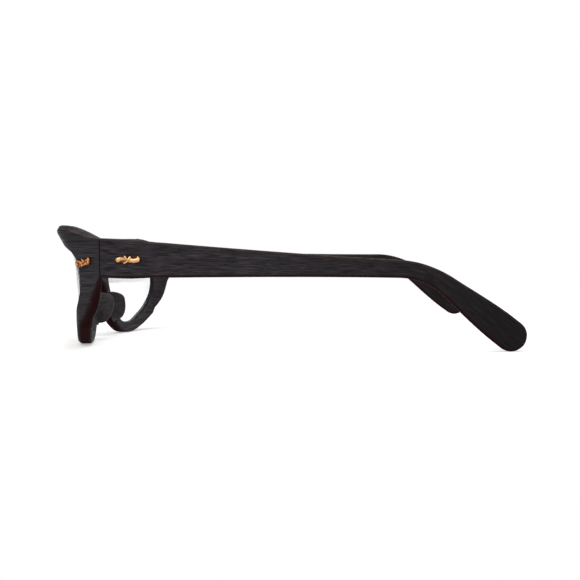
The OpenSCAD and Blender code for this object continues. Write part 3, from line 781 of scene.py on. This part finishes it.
def buildLens(sideName):
    sign = signs[sideName]
    rim = opening[::2]
    half, mid = lens["thickness"] / 2, front["rimThickness"] / 2

    def loop(share, grow, depth):
        run = []
        for p in rim:
            gap = math.dist(p, lensCentre)
            out = [a + (a - c) / gap * grow for a, c in zip(p, lensCentre)]
            s, z = (c + (a - c) * share for a, c in zip(out, lensCentre))
            run.append(onFront(s, z, depth - lens["bow"] * (1 - share * share)))
        return run

    rings, grow, n = lens["rings"], -lens["gap"], len(rim)
    loops = [loop(share, grow, mid - half) for share in rings]
    loops.append(loop(1, lens["ridge"], mid))
    loops += [loop(share, grow, mid + half) for share in reversed(rings)]
    points = [onFront(*lensCentre, mid - half - lens["bow"])] + [p for run in loops for p in run]
    points.append(onFront(*lensCentre, mid + half - lens["bow"]))
    faces = [(0, 1 + (i + 1) % n, 1 + i) for i in range(n)] + bridgeRings(len(loops), n, 1)
    a, end = len(points) - 1 - n, len(points) - 1
    faces += [(a + i, a + (i + 1) % n, end) for i in range(n)]
    points = [(sign * x, y, z) for x, y, z in points]
    piece = makePiece(pieceName("lens", sideName), points, faces)
    piece.data.set_sharp_from_angle(angle=math.radians(35))
    piece.data.materials.append(lensFinish)
    piece.data.materials.append(bevelFinish)
    for face in piece.data.polygons[n * len(rings):n * (len(rings) + 2)]:
        face.material_index = 1
    return piece


for sideName in signs:
    piece = buildLens(sideName)
    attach(piece, "front")
    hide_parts("lens_" + sideName)
print("lenses: 2")


# Nose pads: fins that grow out of the rim with a concave foot.
pad = {
    "depth": 6.3, "height": 12.5, "width": 4.2, "lean": 24, "centre": (11.4, 12.0), "crest": 3.4, "flank": 0.95,
    "rise": 0.9, "foot": 0.6, "footSpread": 0.8, "footLift": 0.02, "footSteps": 6, "sunk": 0.4, "tipFlat": 0.1,
    "tipTurn": 88, "sides": 72, "rings": 20, "ringGrain": 0.3,
    "filing": 0.02, "filingLength": 5.0, "filingWidth": 1.6,
}


def buildPad(sideName):
    sign = signs[sideName]
    lean = math.radians(pad["lean"])

    def loop(grow, shrink, depth):
        run = []
        for i in range(pad["sides"]):
            a = 2 * math.pi * i / pad["sides"]
            u = (pad["width"] / 2 * shrink + grow) * math.cos(a)
            v = (pad["height"] / 2 * shrink + grow) * math.sin(a) + pad["crest"] * (1 - shrink)
            s = pad["centre"][0] + u * math.cos(lean) - v * math.sin(lean)
            z = pad["centre"][1] + u * math.sin(lean) + v * math.cos(lean)
            run.append(((s, z), onFront(s, z, rimDepth(s, z) + depth)))
        return run

    foot, spread = pad["foot"], pad["footSpread"]
    loops = [loop(spread, 1, -pad["sunk"])]
    for k in range(pad["footSteps"]):    # concave foot
        t = k / pad["footSteps"] * math.pi / 2
        loops.append(loop(spread * (1 - math.sin(t)), 1, pad["footLift"] + foot * (1 - math.cos(t))))
    for k in range(pad["rings"]):
        t = k / (pad["rings"] - 1) * math.radians(pad["tipTurn"])
        depth = foot + (pad["depth"] - pad["tipFlat"] - foot) * math.sin(t) ** pad["rise"]
        loops.append(loop(0, math.cos(t) ** pad["flank"], depth))
    n = pad["sides"]
    points = [(sign * x, y, z) for run in loops for flat, (x, y, z) in run]
    step = pad["ringGrain"]
    grainAt = [(s + k * step, k * step, z) for k, run in enumerate(loops) for (s, z), p in run]
    faces = bridgeRings(len(loops), n) + [tuple(range(n)), tuple(range(len(points) - n, len(points)))]
    plain = [0.0] * len(points)
    marks = {"grain": grainAt, "edge": plain, "cut": plain}
    return makePiece(pieceName("nose", "pad", sideName), points, faces, marks)


for sideName in signs:
    piece = fileSurface(buildPad(sideName), pad, 5.0, padFinish)
    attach(piece, "front")
    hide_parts("nose_pad_" + sideName)
print("nose pads: 2")


# Metals.
def makeGoldFinish(name, dull, bright, polishAndHighlight):
    # cast warm gold: brighter where the lumps face out, real polish with a painted highlight; dark copper patina in
    # the creases, with painted shade on the steep flanks and at the foot
    material, tree, shader = newMaterial(name, {"Metallic": 1.0, "Roughness": 0.36})
    at, patinaAndShade = objectPlace(tree), pointMark(tree, "patinaAndShade")["Fac"]
    patinaShadeMask = remap(tree, patinaAndShade, 0.1, 0.6)
    colour = layColours(tree, dull, [
        (noise(tree, at, 700.0, 2.0), bright),
        # real polish and a painted highlight where the lumps face out
        (remap(tree, patinaAndShade, 0.07, 0.0, 0.0, 0.75), polishAndHighlight),
        # patina in the creases, painted shade on the flanks, both at the foot
        (patinaShadeMask, (0.1, 0.03, 0.009)),
    ])
    pits = noise(tree, at, 2600.0, 4.0, 0.6)
    feed(tree, shader, {"Base Color": colour, "Roughness": remap(tree, patinaShadeMask, 0.0, 1.0, 0.22, 0.5),
                        "Normal": bumpFrom(tree, pits, 0.45, 0.00006)})
    return material


def makeBrushedMetal(name, bright, dull, roughness, across):
    # turned or brushed metal with fine lines, faint tarnish and a little dust
    material, tree, shader = newMaterial(name, {"Metallic": 1.0, "Roughness": roughness})
    at = objectPlace(tree)
    turned = node(tree, "ShaderNodeMapping", {"Vector": at, "Scale": across}).outputs[0]
    lines = noise(tree, turned, 1.0, 3.0, 0.6)
    tarnish = remap(tree, noise(tree, at, 420.0, 4.0, 0.6), 0.48, 0.7)
    dust = useGroup(tree, fineDust, {"Speck Size": 0.00025, "Amount": 0.25})["Dust"]
    colour = layColours(tree, bright, [(tarnish, dull), (dust, (0.3, 0.28, 0.25))])
    rough = remap(tree, lines, 0.0, 1.0, roughness - 0.08, roughness + 0.12)
    feed(tree, shader, {"Base Color": colour, "Roughness": rough, "Normal": bumpFrom(tree, lines, 0.3, 0.00003)})
    return material


goldFinishes = {
    "temple": makeGoldFinish("cast_gold", (0.22, 0.104, 0.038), (0.415, 0.224, 0.09), (0.65, 0.385, 0.18)),
    # the front twig is the same gold in darker, warmer tones: painted shade and a painted warm reflection
    "front": makeGoldFinish("cast_gold_painted_shade_warm_reflection", (0.23, 0.08, 0.02), (0.395, 0.152, 0.042), (0.64, 0.3, 0.105)),
}
hingeFinish = makeBrushedMetal(
    "brushed_hinge_brass", (0.83, 0.63, 0.33), (0.5, 0.34, 0.16), 0.34, (300.0, 300.0, 9000.0))
screwFinish = makeBrushedMetal(
    "turned_screw_metal", (0.72, 0.62, 0.44), (0.42, 0.35, 0.24), 0.3, (5000.0, 5000.0, 5000.0))
wireFinish = makeBrushedMetal(
    "drawn_core_wire", (0.62, 0.62, 0.63), (0.35, 0.34, 0.33), 0.36, (9000.0, 300.0, 9000.0))


# Cast twigs: knotted strands melted into one skin. Each key is (along, up, out, radius).
twig = {
    "temple": [
        [(-3.45, 0.25, 0.0, 0.8), (-3.15, 0.05, 0.05, 1.0)],
        [(-2.7, 0.3, 0.1, 0.82), (-1.8, 0.4, 0.1, 0.66), (-1.1, 0.2, 0.1, 0.62)],
        [(-1.2, -0.9, 0.3, 0.44), (-0.5, -0.6, 0.5, 0.42), (0.1, 0.05, 0.58, 0.44), (0.65, 0.8, 0.35, 0.5)],
        [(-0.95, 0.95, 0.35, 0.52), (-0.6, 0.5, 0.45, 0.42), (-0.5, 0.0, 0.25, 0.45)],
        [(0.3, -0.4, 0.05, 0.6), (1.1, -0.15, 0.15, 0.8), (1.9, -0.25, 0.12, 0.85), (2.6, -0.1, 0.1, 0.88),
         (3.1, 0.0, 0.1, 0.9)],
        [(3.35, 0.45, 0.2, 0.62), (3.2, 0.8, 0.25, 0.48)],
        [(-3.3, 0, -0.5, 0.8), (-1.4, -0.2, -0.48, 0.9), (1.4, 0.1, -0.48, 0.9), (3.2, 0.2, -0.5, 0.9)],
    ],
    "front": [
        [(-3.55, 0.55, 0.1, 0.5), (-3.35, 0.05, 0.2, 0.6), (-3.05, -0.45, 0.15, 0.55)],
        [(-2.7, 0.85, 0.1, 0.46), (-2.1, 0.65, 0.25, 0.52)],
        [(-2.1, -0.85, 0.05, 0.5), (-1.6, -0.5, 0.2, 0.48)],
        [(-1.6, 0.55, 0.15, 0.5), (-0.9, 0.2, 0.35, 0.54), (-0.5, -0.1, 0.35, 0.54)],
        [(-0.9, -1.0, 0.1, 0.5), (-0.2, -0.75, 0.3, 0.5), (0.3, -0.85, 0.2, 0.48)],
        [(-0.2, 1.0, 0.15, 0.5), (0.3, 0.65, 0.3, 0.46), (0.55, 0.15, 0.35, 0.48)],
        [(1.1, -0.75, 0.2, 0.54), (1.7, -0.6, 0.25, 0.54), (2.2, -0.85, 0.15, 0.5)],
        [(1.5, 0.35, 0.1, 0.45), (2.2, 0.3, 0.2, 0.52)],
        [(3.0, 0.75, 0.15, 0.55), (3.25, 0.2, 0.25, 0.66), (3.1, -0.5, 0.2, 0.6), (2.95, -0.85, 0.1, 0.5)],
        [(-3.1, 0.1, -0.5, 0.8), (-1, 0, -0.45, 0.95), (1, 0, -0.45, 0.95), (3.1, 0, -0.5, 0.85)],
    ],
    "beadStep": 0.12, "voxel": 0.075, "melt": 2, "cut": -0.12,
    # the flank darkening is painted shade; the foot darkening is patina with painted shade
    "dipBlur": 2, "creaseDark": 60.0, "flankPaintedShade": 0.75, "footPatinaAndShade": 0.9, "footHeight": 0.7,
    "templeAt": 9.2, "templeDrop": 0.7, "frontAt": 8.2, "frontDrop": 1.4, "frontTilt": 10, "frontProud": 0.1,
}


def makeTwigTree():
    # beads of their own radius melted into one skin
    tree, given, result = newShapeTree("castTwig", {"Voxel": "Float", "Melt": "Int"})
    lump = node(tree, "GeometryNodeInputNamedAttribute", {"Name": "lump"}, data_type="FLOAT")
    radius = lump.outputs["Attribute"]
    spots = node(tree, "GeometryNodeMeshToPoints", {0: given["Geometry"], "Radius": radius})
    values = {"Points": spots.outputs[0], "Voxel Size": given["Voxel"], "Radius": radius}
    volume = node(tree, "GeometryNodePointsToVolume", values, resolution_mode="VOXEL_SIZE")
    skin = node(tree, "GeometryNodeVolumeToMesh", {"Volume": volume.outputs[0], "Threshold": 0.1})
    values = {"Value": node(tree, "GeometryNodeInputPosition").outputs[0], "Iterations": given["Melt"]}
    melted = node(tree, "GeometryNodeBlurAttribute", values, data_type="FLOAT_VECTOR")
    moved = node(tree, "GeometryNodeSetPosition", {"Geometry": skin.outputs[0], "Position": melted.outputs[0]})
    return closeShapeTree(tree, given, result, node(tree, "GeometryNodeSetShadeSmooth", {0: moved.outputs[0]}))


castTwig = makeTwigTree()


def twigFrame(kind, sign):
    # origin on the face, +x out of it and +y along the shield towards the seam or the tip
    if kind == "temple":
        y, level = twig["templeAt"], front["templeLevel"] - twig["templeDrop"]
        origin = Vector((front["halfWidth"] - y * math.tan(math.radians(temple["toeIn"])), y, level))
        out, along = templeAxes()
        up = Vector((0, 0, 1))
    else:
        facet, tilt, d = plan["facet"], math.radians(twig["frontTilt"]), twig["frontAt"]
        level = front["templeLevel"] - twig["frontDrop"]
        origin = Vector((front["halfWidth"] - d * math.cos(facet), -d * math.sin(facet), level))
        out, flat = Vector((math.sin(facet), -math.cos(facet), 0)), Vector((math.cos(facet), math.sin(facet), 0))
        along = flat * math.cos(tilt) + Vector((0, 0, math.sin(tilt)))
        up = Vector((0, 0, math.cos(tilt))) - flat * math.sin(tilt)
        origin += out * twig["frontProud"]
    if sign < 0:
        origin, out, along, up = (Vector((-v.x, v.y, v.z)) for v in (origin, out, along, up))
    return origin, out, along, up


def buildTwig(kind, sideName):
    origin, out, along, up = twigFrame(kind, signs[sideName])
    beads = []
    for keys in twig[kind]:
        length = sum(math.dist(a[:3], b[:3]) for a, b in zip(keys, keys[1:]))
        count = max(1, round(length / twig["beadStep"]))
        beads += (smoothRun(keys, count) if len(keys) > 1 else []) + [keys[-1]]
    points = [tuple(origin + out * o + along * a + up * b) for a, b, o, r in beads]
    lumps = [r * mm for a, b, o, r in beads]
    piece = makePiece(pieceName("twig", kind, sideName), points, [], {"lump": lumps})
    addTree(piece, castTwig, {"Voxel": twig["voxel"] * mm, "Melt": twig["melt"], "Finish": goldFinishes[kind]})
    bm = bmesh.new()
    bm.from_mesh(piece.data)
    start = place(origin + out * twig["cut"])
    everything = bm.verts[:] + bm.edges[:] + bm.faces[:]
    bmesh.ops.bisect_plane(bm, geom=everything, plane_co=start, plane_no=-out, clear_outer=True)
    bmesh.ops.holes_fill(bm, edges=[e for e in bm.edges if e.is_boundary], sides=0)
    bmesh.ops.recalc_face_normals(bm, faces=bm.faces)
    bm.verts.ensure_lookup_table()
    bm.normal_update()
    layer = bm.verts.layers.float.new("patinaAndShade")
    around = [[e.other_vert(v) for e in v.link_edges] for v in bm.verts]
    dip = [(sum((w.co for w in near), Vector()) / len(near) - v.co).dot(v.normal) / mm
           for v, near in zip(bm.verts, around)]
    for k in range(twig["dipBlur"]):
        dip = [(own + sum(dip[w.index] for w in near)) / (1 + len(near)) for own, near in zip(dip, around)]
    for v in bm.verts:
        # creases take the patina; steep flanks take painted shade; low spots near the face take patina and painted
        # shade
        height = (v.co - place(origin)).dot(out) / mm
        flank = 1 - abs(v.normal.dot(out))
        crease = twig["creaseDark"] * max(0.0, dip[v.index])
        foot = twig["footPatinaAndShade"] * clamp(1 - height / twig["footHeight"])
        v[layer] = clamp(crease + twig["flankPaintedShade"] * flank ** 2 + foot)
    bm.to_mesh(piece.data)
    bm.free()
    return piece


for sideName in signs:
    for kind in ("front", "temple"):
        piece = buildTwig(kind, sideName)
        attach(piece, "front" if kind == "front" else "temple_" + sideName)
        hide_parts(kind + "_shield_" + sideName)
print("twigs: 4,", len(piece.data.polygons), "faces in the last")


# Hinges: plates let into the inner faces, knuckles by turns on each leaf, one slotted screw.
hinge = {
    "axisIn": 3.1, "knuckleRadius": 1.3, "knuckleHeight": 1.3, "gap": 0.05, "fit": 0.05, "knuckleEase": 0.1,
    "plate": 1.0, "plateHeight": 7.0, "frontLength": 8.6, "templeLength": 13.0, "frontStart": 0.7,
    "templeStart": 1.2, "proud": 0.1, "ease": 0.14, "armEase": 0.08, "armSunk": 0.5, "armShort": 0.3,
    "armPast": 0.9, "armIntoTemple": 0.4, "armFrom": 0.45, "armWidth": 1.95,
    "screwRadius": 0.6, "headRadius": 1.15, "slot": 0.3, "slotCut": 0.9, "slotTurn": (0.8, 0.6), "screwSides": 48,
}
axisAt = (front["halfWidth"] - temple["thick"] - hinge["axisIn"], axisBack, 0)
lowest = front["templeLevel"] - 2.5 * hinge["knuckleHeight"]


def easedBox(bm, origin, alongX, alongY, size, low, ease):
    # a box with eased edges in a turned frame
    made = bmesh.ops.create_cube(bm, size=1)["verts"]
    for v in made:
        local = [low[i] + (v.co[i] + 0.5) * size[i] for i in range(3)]
        v.co = Vector((origin[0], origin[1], 0)) + alongX * local[0] + alongY * local[1] + Vector((0, 0, local[2]))
    edges = {e for v in made for e in v.link_edges}
    bmesh.ops.bevel(bm, geom=list(edges), offset=ease, segments=3, profile=0.5, affect="EDGES")


def makeKnuckleTree():
    # a row of hollow knuckles, every second place, joined to the leaf that comes in
    tree, given, result = newShapeTree("knuckleRow", {
        "Count": "Int", "Height": "Float", "Gap": "Float", "Outer": "Float", "Bore": "Float", "Ease": "Float",
        "First": "Vector"})
    wall = combine(tree, "SUBTRACT", given["Outer"], given["Bore"])
    mean = multiply(tree, combine(tree, "ADD", given["Outer"], given["Bore"]), 0.5)
    tall = combine(tree, "SUBTRACT", given["Height"], given["Gap"])
    step = node(tree, "ShaderNodeCombineXYZ", {"Z": multiply(tree, given["Height"], 2.0)}).outputs[0]
    section = node(tree, "GeometryNodeCurvePrimitiveQuadrilateral", {"Width": wall, "Height": tall}).outputs[0]
    values = {"Curve": section, "Count": 3, "Radius": given["Ease"]}
    eased = node(tree, "GeometryNodeFilletCurve", values, mode="POLY").outputs[0]
    circle = node(tree, "GeometryNodeCurvePrimitiveCircle", {"Resolution": 64, "Radius": mean}).outputs[0]
    ring = node(tree, "GeometryNodeCurveToMesh", {"Curve": circle, "Profile Curve": eased}).outputs[0]
    values = {"Count": given["Count"], "Start Location": given["First"], "Offset": step}
    places = node(tree, "GeometryNodeMeshLine", values, mode="OFFSET").outputs[0]
    copies = node(tree, "GeometryNodeInstanceOnPoints", {"Points": places, "Instance": ring}).outputs[0]
    joined = node(tree, "GeometryNodeJoinGeometry", {0: given["Geometry"]})
    feed(tree, joined, {0: node(tree, "GeometryNodeRealizeInstances", {0: copies}).outputs[0]})
    return closeShapeTree(tree, given, result, joined)


knuckleRow = makeKnuckleTree()


def buildLeaf(kind, sideName):
    sign = signs[sideName]
    bm = bmesh.new()
    level, h, tall = front["templeLevel"], hinge["plateHeight"], hinge["knuckleHeight"]
    armEase, start = hinge["armEase"], hinge[kind + "Start"]
    armHeight, armBase = tall - hinge["gap"] - 2 * armEase, lowest + hinge["gap"] / 2 + armEase
    if kind == "front":
        origin, out, along = innerFace()
        plateFrom, levels = -hinge["plate"], (0, 2, 4)
        axis = Vector(axisAt) - origin
        reach = axis.dot(out) + hinge["armSunk"] - hinge["screwRadius"] - hinge["armShort"]
        width = axis.dot(along) + hinge["armPast"] - start
        arm = (origin, out, along, (reach, width, armHeight), (-hinge["armSunk"], start))
    else:
        origin = Vector((front["halfWidth"] - temple["thick"], temple["seamGap"], 0))
        out, along = templeAxes()
        plateFrom, levels = -hinge["proud"], (1, 3)
        size = (hinge["axisIn"] + hinge["armIntoTemple"], hinge["armWidth"], armHeight)
        arm = (axisAt, Vector((1, 0, 0)), Vector((0, 1, 0)), size, (0, hinge["armFrom"]))
    plateSize = (hinge["plate"] + hinge["proud"], hinge[kind + "Length"], h)
    easedBox(bm, origin, out, along, plateSize, (plateFrom, start, level - h / 2), hinge["ease"])
    for k in levels:
        easedBox(bm, *arm[:4], (*arm[4], armBase + k * tall), armEase)
    for v in bm.verts:
        v.co = place(v.co)
        v.co.x *= sign
    if sign < 0:
        bmesh.ops.reverse_faces(bm, faces=bm.faces)
    piece = addObject(pieceName("leaf", kind, sideName), toMesh(bm, "leaf"))
    first = place((sign * axisAt[0], axisAt[1], lowest + (levels[0] + 0.5) * tall))
    addTree(piece, knuckleRow, {
        "Count": len(levels), "Height": tall * mm, "Gap": hinge["gap"] * mm, "Outer": hinge["knuckleRadius"] * mm,
        "Bore": (hinge["screwRadius"] + hinge["fit"]) * mm, "Ease": hinge["knuckleEase"] * mm, "First": first,
        "Finish": hingeFinish})
    piece.data.shade_smooth()
    piece.data.set_sharp_from_angle(angle=math.radians(40))
    return piece


def buildScrew(sideName):
    # turned screw with an eased, slotted head; radius and height along its profile
    r, head, n = hinge["screwRadius"], hinge["headRadius"], hinge["screwSides"]
    profile = [(r - 0.12, 0.2), (r, 0.32), (r, 6.5), (head - 0.06, 6.5), (head, 6.56), (head, 6.9),
               (head - 0.12, 7.05), (head - 0.3, 7.1)]
    bm = bmesh.new()
    turns = [2 * math.pi * k / n for k in range(n)]
    rings = [[bm.verts.new((q * math.cos(a), q * math.sin(a), z)) for a in turns] for q, z in profile]
    for a, b in zip(rings, rings[1:]):
        for k in range(n):
            bm.faces.new((a[k], a[(k + 1) % n], b[(k + 1) % n], b[k]))
    bm.faces.new(list(reversed(rings[0])))
    bm.faces.new(rings[-1])
    piece = addObject(pieceName("screw", sideName), toMesh(bm, "screw"))
    cutter = bmesh.new()
    bmesh.ops.create_cube(cutter, size=1)
    for v in cutter.verts:
        v.co = Vector((v.co.x * head * 3, v.co.y * hinge["slot"], v.co.z * hinge["slotCut"] + profile[-1][1]))
    slot = addObject("slot", toMesh(cutter, "slot"))
    cut = piece.modifiers.new("slot", "BOOLEAN")
    cut.object, cut.operation, cut.solver = slot, "DIFFERENCE", "EXACT"
    keepResult(piece)
    bpy.data.objects.remove(slot)
    cosine, sine = hinge["slotTurn"]
    for v in piece.data.vertices:
        x, y, z = Vector((v.co.x * cosine - v.co.y * sine, v.co.x * sine + v.co.y * cosine, v.co.z))
        v.co = place((signs[sideName] * axisAt[0] + x, axisAt[1] + y, lowest + z))
    piece.data.materials.clear()
    piece.data.materials.append(screwFinish)
    piece.data.shade_smooth()
    piece.data.set_sharp_from_angle(angle=math.radians(35))
    return piece


for sideName in signs:
    for kind in ("front", "temple"):
        piece = buildLeaf(kind, sideName)
        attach(piece, "front" if kind == "front" else "temple_" + sideName)
        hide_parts("hinge_" + kind + "_" + sideName)
    piece = buildScrew(sideName)
    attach(piece, "front")
    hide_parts("hinge_screw_" + sideName)
    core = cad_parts["temple_core_" + sideName]
    core.data.materials.clear()
    core.data.materials.append(wireFinish)
print("hinges: 4 leaves, 2 screws")


# Stage: pale floor, soft light, white behind. Metres here, apart from the camera's place, and watts.
stage = {
    "floorColour": (0.80, 0.79, 0.78), "floorLift": 0.36, "farLift": 0.66, "liftFrom": 0.3, "liftTo": 1.5,
    "floorHalf": 4.0, "worldLight": 0.44, "worldColour": (0.93, 0.96, 1.0),
    "camera": (351.7, 71.2, 24.8), "yaw": -2.05, "pitch": 1.01, "film": 36, "focal": 55.7,
    "lamps": {    # place, aim, size, power, colour
        "key": ((0.75, -0.35, 0.75), (0, 0, 0.02), 0.7, 5.2, (1.0, 0.97, 0.93)),
        "fill": ((0.7, 0.6, 0.35), (0, 0, 0.02), 0.9, 2.2, (0.93, 0.96, 1.0)),
        "top": ((-0.15, 0.1, 1.0), (0, 0, 0), 0.9, 5.0, (1.0, 1.0, 1.0)),
    },
}
white = (1, 1, 1, 1)


def seenRays(tree):
    # 1 for what the camera sees straight, in a reflection or through glass
    rays = node(tree, "ShaderNodeLightPath").outputs
    seen = combine(tree, "ADD", rays["Is Camera Ray"], rays["Is Glossy Ray"])
    return combine(tree, "ADD", seen, rays["Is Transmission Ray"], True)


def clearedTree(data):
    data.use_nodes = True
    data.node_tree.nodes.clear()
    return data.node_tree


def makeFloor():
    material = bpy.data.materials.new("pale_floor")
    tree = clearedTree(material)
    distance = node(tree, "ShaderNodeVectorMath", {0: objectPlace(tree)}, operation="LENGTH").outputs["Value"]
    brighter = remap(tree, distance, stage["liftFrom"], stage["liftTo"], stage["floorLift"], stage["farLift"])
    power = multiply(tree, seenRays(tree), brighter)
    matte = node(tree, "ShaderNodeBsdfDiffuse", {"Color": stage["floorColour"] + (1,)}).outputs[0]
    lift = node(tree, "ShaderNodeEmission", {"Color": white, "Strength": power}).outputs[0]
    both = node(tree, "ShaderNodeAddShader", {0: matte, 1: lift}).outputs[0]
    node(tree, "ShaderNodeOutputMaterial", {"Surface": both})
    mesh = bpy.data.meshes.new("Floor")
    w = stage["floorHalf"]
    mesh.from_pydata([(-w, -w, 0), (w, -w, 0), (w, w, 0), (-w, w, 0)], [], [(0, 1, 2, 3)])
    mesh.materials.append(material)
    floor = addObject("Floor", mesh)


def makeWorld():
    world = bpy.data.worlds.new("studio")
    bpy.context.scene.world = world
    tree = clearedTree(world)
    values = {"Color": stage["worldColour"] + (1,), "Strength": stage["worldLight"]}
    soft = node(tree, "ShaderNodeBackground", values).outputs[0]
    behind = node(tree, "ShaderNodeBackground", {"Color": white, "Strength": 1.0}).outputs[0]
    mix = node(tree, "ShaderNodeMixShader", {0: seenRays(tree), 1: soft, 2: behind}).outputs[0]
    node(tree, "ShaderNodeOutputWorld", {"Surface": mix})


def aim(thing, direction):
    thing.rotation_euler = direction.to_track_quat("-Z", "Y").to_euler()


def addSoftbox(name, position, target, size, power, colour):
    light = bpy.data.lights.new(name, "AREA")
    light.shape, light.size, light.energy, light.color = "DISK", size, power, colour
    lamp = addObject(name, light)
    lamp.location = position
    aim(lamp, Vector(target) - Vector(position))


def makeCamera():
    # level with the temples, at the wearer's left, nearly square to the side
    data = bpy.data.cameras.new("side_view")
    data.sensor_width, data.lens = stage["film"], stage["focal"]
    camera = addObject("side_view", data)
    camera.location = place(stage["camera"])
    yaw, pitch = math.radians(stage["yaw"]), math.radians(stage["pitch"])
    aim(camera, Vector((-math.cos(yaw) * math.cos(pitch), math.sin(yaw) * math.cos(pitch), -math.sin(pitch))))
    bpy.context.scene.camera = camera


makeFloor()
makeWorld()
for name, values in stage["lamps"].items():
    addSoftbox(name, *values)
makeCamera()
bpy.context.scene.view_settings.view_transform = "Standard"
print("stage, lights and camera set")
